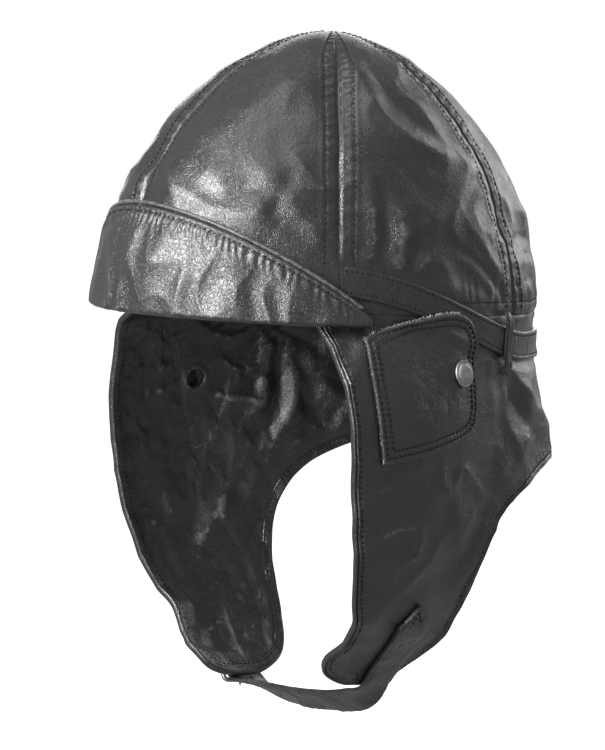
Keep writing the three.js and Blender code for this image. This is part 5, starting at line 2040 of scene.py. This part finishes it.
# A pressed cap's section: shares of its radius and of its height.
CAP_PROFILE = np.array([
    [0.05, 0.0], [0.90, 0.0], [0.975, 0.10], [1.0, 0.22], [0.985, 0.38], [0.93, 0.50], [0.875, 0.50],
    [0.83, 0.42], [0.79, 0.44], [0.74, 0.62], [0.66, 0.80], [0.54, 0.93], [0.40, 1.0], [0.26, 0.97],
    [0.14, 0.92], [0.05, 0.90],
])


def turned_cap(centre: Array, outward: Array, radius: float, height: float) -> Shape:
    """A pressed snap cap: flat back, rolled rim, a groove and a low dome with a dished middle.

    Args:
        centre: the middle of its back.
        outward: the way it faces.
        radius: of the rim.
        height: of the dome.

    Returns:
        The cap's shape.
    """
    across = unit(np.cross(outward, np.array([0.0, 0.0, 1.0])))
    ring = circles(across, np.cross(outward, across), 56)
    wide, high = CAP_PROFILE[:, :1, None] * radius, CAP_PROFILE[:, 1:, None] * height
    return tube(centre + ring[None] * wide + outward * high)


# The back tab.
@dataclass(frozen=True)
class BackTab:
    """The flat retaining tab over the belt at the back, with its black snap."""

    width: float = 26.0
    length: float = 50.0
    wall: float = 2.0
    rise: float = 4.0
    stitch_inset: float = 2.6
    snap_radius: float = 8.0
    snap_height: float = 4.0

    def frame(self) -> tuple[Array, Array, Array, Array]:
        """The tab's top point, and its side, up and outward directions.

        Returns:
            Four vectors.
        """
        ends = []
        for z in (self.rise, self.rise - self.length):
            base = FORM.base(180.0, z)
            ends.append(base + FORM.outward(np.array(180.0), np.array(z)) * GAP)
        up = unit(ends[0] - ends[1])
        side = np.array([-1.0, 0.0, 0.0])
        return ends[0], side, up, np.cross(side, up)

    def surface(self, u: Array, v: Array, out: Array) -> Array:
        """Points of the tab.

        Args:
            u: across.
            v: down.
            out: from its back face.

        Returns:
            The points.
        """
        top, side, up, outward = self.frame()
        down = v * self.length
        half = self.width / 2
        past = np.clip(down - (self.length - half), 0, half - 0.02)
        reach = np.sqrt(np.maximum(half ** 2 - past ** 2, 0.15))
        return top + side * ((u * 2 - 1) * reach)[..., None] - up * down[..., None] + outward * out[..., None]

    def build(self, wardrobe: Wardrobe) -> None:
        """Builds the tab, its stitches and its snap.

        Args:
            wardrobe: the finishes.
        """
        u = graded(28, (6, 0.08), (6, 0.08))[None, :]
        v = graded(64, (4, 0.03), (20, 0.16))[:, None]
        u, v = np.broadcast_arrays(u, v)
        flat = self.surface(u, v, np.zeros(u.shape))
        around = round_patch(200)
        inset, _ = nearest(flat, self.surface(*around, np.zeros(len(around[0]))))
        rise = rounded(inset, 0.6, 0.9) + groove(inset, self.stitch_inset, 0.25, 0.6)
        rise = rise + 0.12 * SWELL(flat / 12)
        shape = shell(self.surface(u, v, self.wall + rise), coarse(flat), rubbed(rise, 1.0, 0.2, 5))
        add_piece("nape_tab", shape, wardrobe.tab, "tab_leather", "back_tab")
        top, side, up, outward = self.frame()
        half = self.width / 2 - self.stitch_inset
        turn = np.linspace(0, math.pi, 60)
        low = self.length - self.width / 2
        across = np.concatenate([np.full(80, half), half * np.cos(turn), np.full(80, -half)])
        down = np.concatenate([np.linspace(3, low, 80), low + half * np.sin(turn), np.linspace(low, 3, 80)])
        path = top + side * across[:, None] - up * down[:, None] + outward * (self.wall - 0.1)
        row = SEWING.row(path, np.tile(outward, (len(path), 1)), SEEDS["tab"])
        add_piece("nape_tab_stitching", row, wardrobe.thread, "tab_leather")
        centre = top - up * low + outward * (self.wall + GAP)
        cap = turned_cap(centre, outward, self.snap_radius, self.snap_height)
        add_piece("nape_tab_snap", cap, wardrobe.enamel, "black_enamel", "back_tab_snap", sharp=35)


# The chin strap and buckle.
# The sewn triangle's corners: along the strap from its end, and across from its middle.
PATCH_CORNERS = np.array([[2.6, 0.0], [19.0, 5.6], [19.0, -5.6], [2.6, 0.0]])


@dataclass(frozen=True)
class ChinStrap:
    """The strap from the left flap under the chin to the buckle on the right flap."""

    width: float = 17.0
    wall: float = 2.0
    angle: float = 90.5
    sweep: float = 7.0
    buckle_angle: float = 92.0
    start_drop: float = 125.0
    sag: float = 8.0
    tilt: float = 46.0
    tail: float = 24.0
    wire: float = 2.2
    buckle_length: float = 11.0
    buckle_rise: float = 10.0
    buckle_tilt: float = 16.0
    tab_width: float = 15.0
    tab_length: float = 22.0
    dips: tuple[tuple[float, float], ...] = ((0.12, 0.75), (0.28, 1.0), (0.52, 0.98), (0.78, 0.66))
    lean_pull: float = 1.5
    point_length: float = 0.62
    hole_radius: float = 1.15
    hole_pitch: float = 6.5
    hole_from_buckle: float = 13.0
    frame_corner: float = 0.32
    frame_bow: float = 0.35

    def on_flap(self, drop: float, out: float, side: Side) -> tuple[Array, Array]:
        """A station of the strap on a flap.

        Args:
            drop: below the brow.
            out: from the flap's leather.
            side: the flap's side.

        Returns:
            The point, and the way out of the strap's face.
        """
        share = min(max((drop - self.start_drop) / (FORM.flap_drop - self.start_drop), 0), 1)
        angle = self.angle + self.sweep * share if side is Side.LEFT else self.buckle_angle
        point, outward, _ = Curtain(side).point(np.array(angle), np.array(drop), np.array(out))
        return point, outward

    @cached_property
    def buckle(self) -> tuple[Array, Array, Array]:
        """How the buckle lies.

        Returns:
            Its centre, the way up through it and the way out of it.
        """
        tab_out = 2 * GAP + self.wall / 2
        tab_end = self.on_flap(FORM.flap_drop - self.buckle_rise, tab_out, Side.RIGHT)[0]
        toe = self.on_flap(FORM.flap_drop - GAP, tab_out, Side.RIGHT)[0]
        up = tab_end - toe
        up[1] = 0
        up = unit(up)
        tilt = math.radians(self.buckle_tilt)
        cos, sin = math.cos(tilt), math.sin(tilt)
        up = np.array([up[0] * cos + up[2] * sin, 0, up[2] * cos - up[0] * sin])
        out = unit(np.cross(up, np.array([0.0, 1.0, 0.0])))
        reach = (self.buckle_length + self.wire) / 2 + 3 * GAP
        return tab_end - up * reach, up, out

    def in_buckle(self, along: float, out: float) -> tuple[Array, Array]:
        """A station by the buckle, and the way out of its face."""
        centre, up, outward = self.buckle
        return centre + up * along + outward * out, outward

    @cached_property
    def stations(self) -> list[Station]:
        """The strap's way from the left flap to its tail.

        Returns:
            Points, each with the way out of the strap's face.
        """
        on = GAP + self.wall / 2
        drops = [lerp(self.start_drop, FORM.flap_drop - GAP, k / 4) for k in range(5)]
        found = [self.on_flap(drop, on, Side.LEFT) for drop in drops]
        lip = found[-1]
        weave = self.wire / 2 + 5 * GAP + self.wall / 2
        entry = self.in_buckle(-self.buckle_length / 2, -weave)
        lean = math.radians(self.tilt)
        tilted = np.array([0.0, -math.sin(lean), -math.cos(lean)])
        for along, dip in self.dips:
            point = lerp(lip[0], entry[0], along)
            point[2] -= self.sag * dip
            found.append((point, unit(lerp(lip[1], entry[1], along) + tilted * dip * self.lean_pull)))
        found += [entry, self.in_buckle(0, 0), self.in_buckle(self.buckle_length / 2, weave)]
        tail_out = 2 * GAP + self.wall / 2 + self.wall + 2 * GAP
        for share in (0.4, 0.7, 1.0):
            drop = FORM.flap_drop - self.buckle_rise - share * self.tail
            found.append(self.on_flap(drop, tail_out, Side.RIGHT))
        return found

    def tip(self, run: Array) -> Array:
        """The share of the strap's width that it has at a distance from its pointed start."""
        return np.clip(run / (self.width * self.point_length), 0.10, 1)

    def strip(self, u: Array, v: Array, out: Array, stations: list[Station] | None = None) -> Station:
        """Points of the strap, or of the buckle's tab where its stations are given.

        Args:
            u: along.
            v: across.
            out: from the middle of its wall.
            stations: the tab's points, with the way out of its face.

        Returns:
            The points, and the way out of the face.
        """
        way, width = (stations, self.tab_width) if stations else (self.stations, self.width)
        path = Line(np.array([point for point, _ in way]))
        u, v = np.broadcast_arrays(u, v)
        point, along = path.at(u), path.tangent(u)
        knots, where = np.arange(len(way), dtype=float), path.param(u)
        faces = np.array([face for _, face in way])
        face = np.stack([through(knots, column, where) for column in faces.T], axis=-1)
        across = unit(np.cross(face, along))
        outward = np.cross(along, across)
        tip = 1.0 if stations else self.tip(u * path.length)
        return point + across * (width * tip * (v - 0.5))[..., None] + outward * out[..., None], outward

    def build(self, wardrobe: Wardrobe) -> None:
        """Builds the strap, its stitches, the buckle, its prong and its tab.

        Args:
            wardrobe: the finishes.
        """
        path = Line(np.array([point for point, _ in self.stations]))
        length = path.length
        LOG.info("chin strap: %.0f mm long", length)
        u, v = np.broadcast_arrays(np.linspace(0, 1, 397)[None, :], graded(14, (4, 0.12), (4, 0.12))[:, None])
        middle, _ = self.strip(u, v, np.zeros(u.shape))
        inset = np.minimum(v, 1 - v) * self.width
        ends = np.minimum(u, 1 - u) * length
        rise = (
            rounded(np.minimum(inset, ends), 0.45, 0.9) + groove(inset, 1.2, 0.30, 0.45)
            + 0.40 * SWELL(middle / 11) + 0.26 * ridged(WRINKLE, middle, 8, 0.7, 2)
            + 0.30 * creases(middle, 7.0, 0.14)
        )
        before = path.share_at(9) * length - u * length - self.hole_from_buckle
        for k in range(3):
            hole = np.hypot(before - self.hole_pitch * k, (v - 0.5) * self.width) < self.hole_radius
            rise = np.where(hole, -0.9, rise)
        face, _ = self.strip(u, v, self.wall / 2 + rise)
        back, _ = self.strip(u, v, -self.wall / 2 - 0.3 * rise)
        add_piece("chin_strap_leather", shell(face, back, rubbed(rise, 1.6, 0.35, 6)), wardrobe.hide,
                  "helmet_leather", "chin_strap")
        rows = joined(self.patch_rows(length))
        add_piece("chin_strap_stitching", rows, wardrobe.thread, "helmet_leather")
        self.build_buckle(wardrobe)

    def patch_rows(self, length: float) -> list[Shape]:
        """The stitched triangle that sews the strap to the left flap.

        Args:
            length: of the strap.

        Returns:
            One shape for each of its sides.
        """
        rows = []
        for k in range(3):
            run, across = lerp(PATCH_CORNERS[k], PATCH_CORNERS[k + 1], np.linspace(0, 1, 60)[:, None]).T
            v = np.clip(0.5 + across / (self.width * self.tip(run)), 0.1, 0.9)
            points, outward = self.strip(run / length, v, np.full_like(run, self.wall / 2))
            rows.append(SEWING.row(points, outward, SEEDS["strap"] + k))
        return rows

    def build_buckle(self, wardrobe: Wardrobe) -> None:
        """Builds the wire frame, the bent prong and the tab that holds them.

        Args:
            wardrobe: the finishes.
        """
        centre, up, out = self.buckle
        side = np.array([0.0, 1.0, 0.0])
        half_up, half_side = self.buckle_length / 2, (self.width + 2 * GAP + self.wire) / 2
        turn = np.linspace(0, 2 * math.pi, 97)[:-1]
        x, y = (
            np.sign(swing) * np.abs(swing) ** self.frame_corner * half
            for swing, half in ((np.cos(turn), half_up), (np.sin(turn), half_side))
        )
        bow = self.frame_bow * np.cos(y / half_side * math.pi / 2)
        path = centre + up * x[:, None] + side * y[:, None] + out * bow[:, None]
        ahead = unit(np.roll(path, -1, axis=0) - np.roll(path, 1, axis=0))
        ring = circles(unit(np.cross(ahead, out)), out, 12)
        wire = tube(path[:, None] + ring * (self.wire / 2), closed=True)
        add_piece("buckle_wire_frame", wire, wardrobe.nickel, "dull_nickel", "buckle_frame", sharp=60)
        thin = self.wire / 3
        over = self.wire / 2 + GAP + thin
        foot = -0.5 - self.wire / self.buckle_length
        spots = ((0.06, over + thin), (-0.15, over + thin), (-0.35, over), (foot, over))
        prong = Line(np.array([self.in_buckle(self.buckle_length * a, b)[0] for a, b in spots]))
        share = np.linspace(0, 1, 24)
        pin = tube(rings_along(prong.at(share), thin * lerp(1.0, 0.72, share ** 2), 10, side))
        add_piece("buckle_pin", pin, wardrobe.nickel, "dull_nickel", "buckle_prong", sharp=60)
        low = FORM.flap_drop - self.buckle_rise
        drops = [low - k * self.tab_length / 3 for k in (3, 2, 1, 0)]
        way = [self.on_flap(drop, 2 * GAP + self.wall / 2, Side.RIGHT) for drop in drops]
        u, v = np.broadcast_arrays(np.linspace(0, 1, 61)[None, :], graded(12, (4, 0.14), (4, 0.14))[:, None])
        inset = np.minimum(np.minimum(v, 1 - v) * self.tab_width, np.minimum(u, 1 - u) * self.tab_length)
        rise = rounded(inset, 0.4, 0.8) + groove(inset, 1.8, 0.2, 0.5)
        face, _ = self.strip(u, v, self.wall / 2 + rise, way)
        back, _ = self.strip(coarse(u), coarse(v), np.full(coarse(u).shape, -self.wall / 2), way)
        shape = shell(face, back, rubbed(rise, 1.0, 0.35, 5))
        add_piece("buckle_holding_tab", shape, wardrobe.hide, "helmet_leather", "buckle_tab")


# The studio.
@dataclass(frozen=True)
class Studio:
    """Camera, floor and soft lights."""

    azimuth: float = 51.7
    elevation: float = 3.2
    roll: float = 3.3
    distance: float = 1.45
    lens: float = 155.9
    shift_x: float = -0.0260
    shift_y: float = -0.0993
    floor_height: float = -0.45
    floor_half: float = 12.0
    sensor: float = 36.0

    def direction(self, azimuth: float, elevation: float) -> Vector:
        """The way from the origin to a place round the helmet.

        Args:
            azimuth: round from the front.
            elevation: above the level.

        Returns:
            A unit vector.
        """
        a, e = math.radians(azimuth), math.radians(elevation)
        return Vector((math.sin(a) * math.cos(e), -math.cos(a) * math.cos(e), math.sin(e)))

    def build_camera(self) -> None:
        """Builds the camera, rolled a little, and makes it the scene's."""
        a, r = math.radians(self.azimuth), math.radians(self.roll)
        back = self.direction(self.azimuth, self.elevation)
        right = Vector((math.cos(a), math.sin(a), 0))
        up = back.cross(right)
        across = right * math.cos(r) + up * math.sin(r)
        upward = up * math.cos(r) - right * math.sin(r)
        data = bpy.data.cameras.new("studio_camera")
        data.lens, data.sensor_width = self.lens, self.sensor
        data.shift_x, data.shift_y = self.shift_x, self.shift_y
        camera = bpy.data.objects.new("studio_camera", data)
        matrix = Matrix((across, upward, back)).transposed().to_4x4()
        matrix.translation = back * self.distance
        camera.matrix_world = matrix
        bpy.context.scene.collection.objects.link(camera)
        bpy.context.scene.camera = camera

    def add_light(
        self, name: str, azimuth: float, elevation: float, distance: float, size: float, watts: float
    ) -> None:
        """Adds a square softbox that faces the helmet.

        Args:
            name: the light's name.
            azimuth: where it stands.
            elevation: how high it stands, in degrees.
            distance: from the helmet, in metres.
            size: its side in metres.
            watts: its power.
        """
        data = bpy.data.lights.new(name, "AREA")
        data.energy, data.size = watts, size
        light = bpy.data.objects.new(name, data)
        away = self.direction(azimuth, elevation)
        light.location = away * distance
        light.rotation_mode = "QUATERNION"
        light.rotation_quaternion = away.to_track_quat("Z", "Y")
        bpy.context.scene.collection.objects.link(light)

    def build_surroundings(self) -> None:
        """Builds the pale floor, the world and the lights."""
        half = self.floor_half
        corners = [(-half, -half), (half, -half), (half, half), (-half, half)]
        mesh = bpy.data.meshes.new("studio_floor")
        mesh.from_pydata([(x, y, self.floor_height) for x, y in corners], [], [(0, 1, 2, 3)])
        # Seamless white paper, lit from under as well, so that it reads as even white.
        mesh.materials.append(Swatch("white_paper").surfaced(
            Base_Color=linear("#f2f2f2"), Roughness=0.9,
            Emission_Color=linear("#ffffff"), Emission_Strength=0.9,
        ))
        floor = bpy.data.objects.new("studio_floor", mesh)
        floor.visible_glossy = False
        floor.visible_diffuse = False
        bpy.context.scene.collection.objects.link(floor)
        world = bpy.data.worlds.new("studio_world")
        bpy.context.scene.world = world
        world.use_nodes = True
        tree = world.node_tree
        tree.nodes.clear()
        # The studio's walls are grey to the helmet and white to the camera.
        to_camera = add_node(tree, "ShaderNodeLightPath").outputs["Is Camera Ray"]
        level = add_node(tree, "ShaderNodeMapRange", {"Value": to_camera, "To Min": 0.33, "To Max": 1.0})
        white = {"Color": linear("#ffffff"), "Strength": level.outputs[0]}
        sky = add_node(tree, "ShaderNodeBackground", white)
        add_node(tree, "ShaderNodeOutputWorld", {"Surface": sky.outputs[0]})
        self.add_light("key_softbox", 6, 22, 1.5, 0.72, 46)
        self.add_light("top_softbox", 30, 72, 1.6, 0.9, 8)
        self.add_light("low_fill_softbox", 32, -10, 1.7, 0.6, 11)
        self.add_light("rim_softbox", 190, 20, 1.7, 0.8, 4.8)
        self.add_light("left_rim_softbox", -125, 15, 1.5, 0.7, 4)
        bpy.context.scene.view_settings.view_transform = "Standard"
        bpy.context.scene.view_settings.look = "None"


def main() -> None:
    """Builds the camera, the helmet's pieces in order, and the studio."""
    logging.basicConfig(level=logging.INFO, format="%(name)s %(message)s", stream=sys.stdout)
    studio = Studio()
    studio.build_camera()
    wardrobe = Wardrobe.build()
    Crown().build(wardrobe)
    for side in Side:
        Curtain(side).build(wardrobe)
        EarFittings(side).build(wardrobe)
    Peak().build(wardrobe)
    BackTab().build(wardrobe)
    ChinStrap().build(wardrobe)
    studio.build_surroundings()


if __name__ == "__main__":
    main()
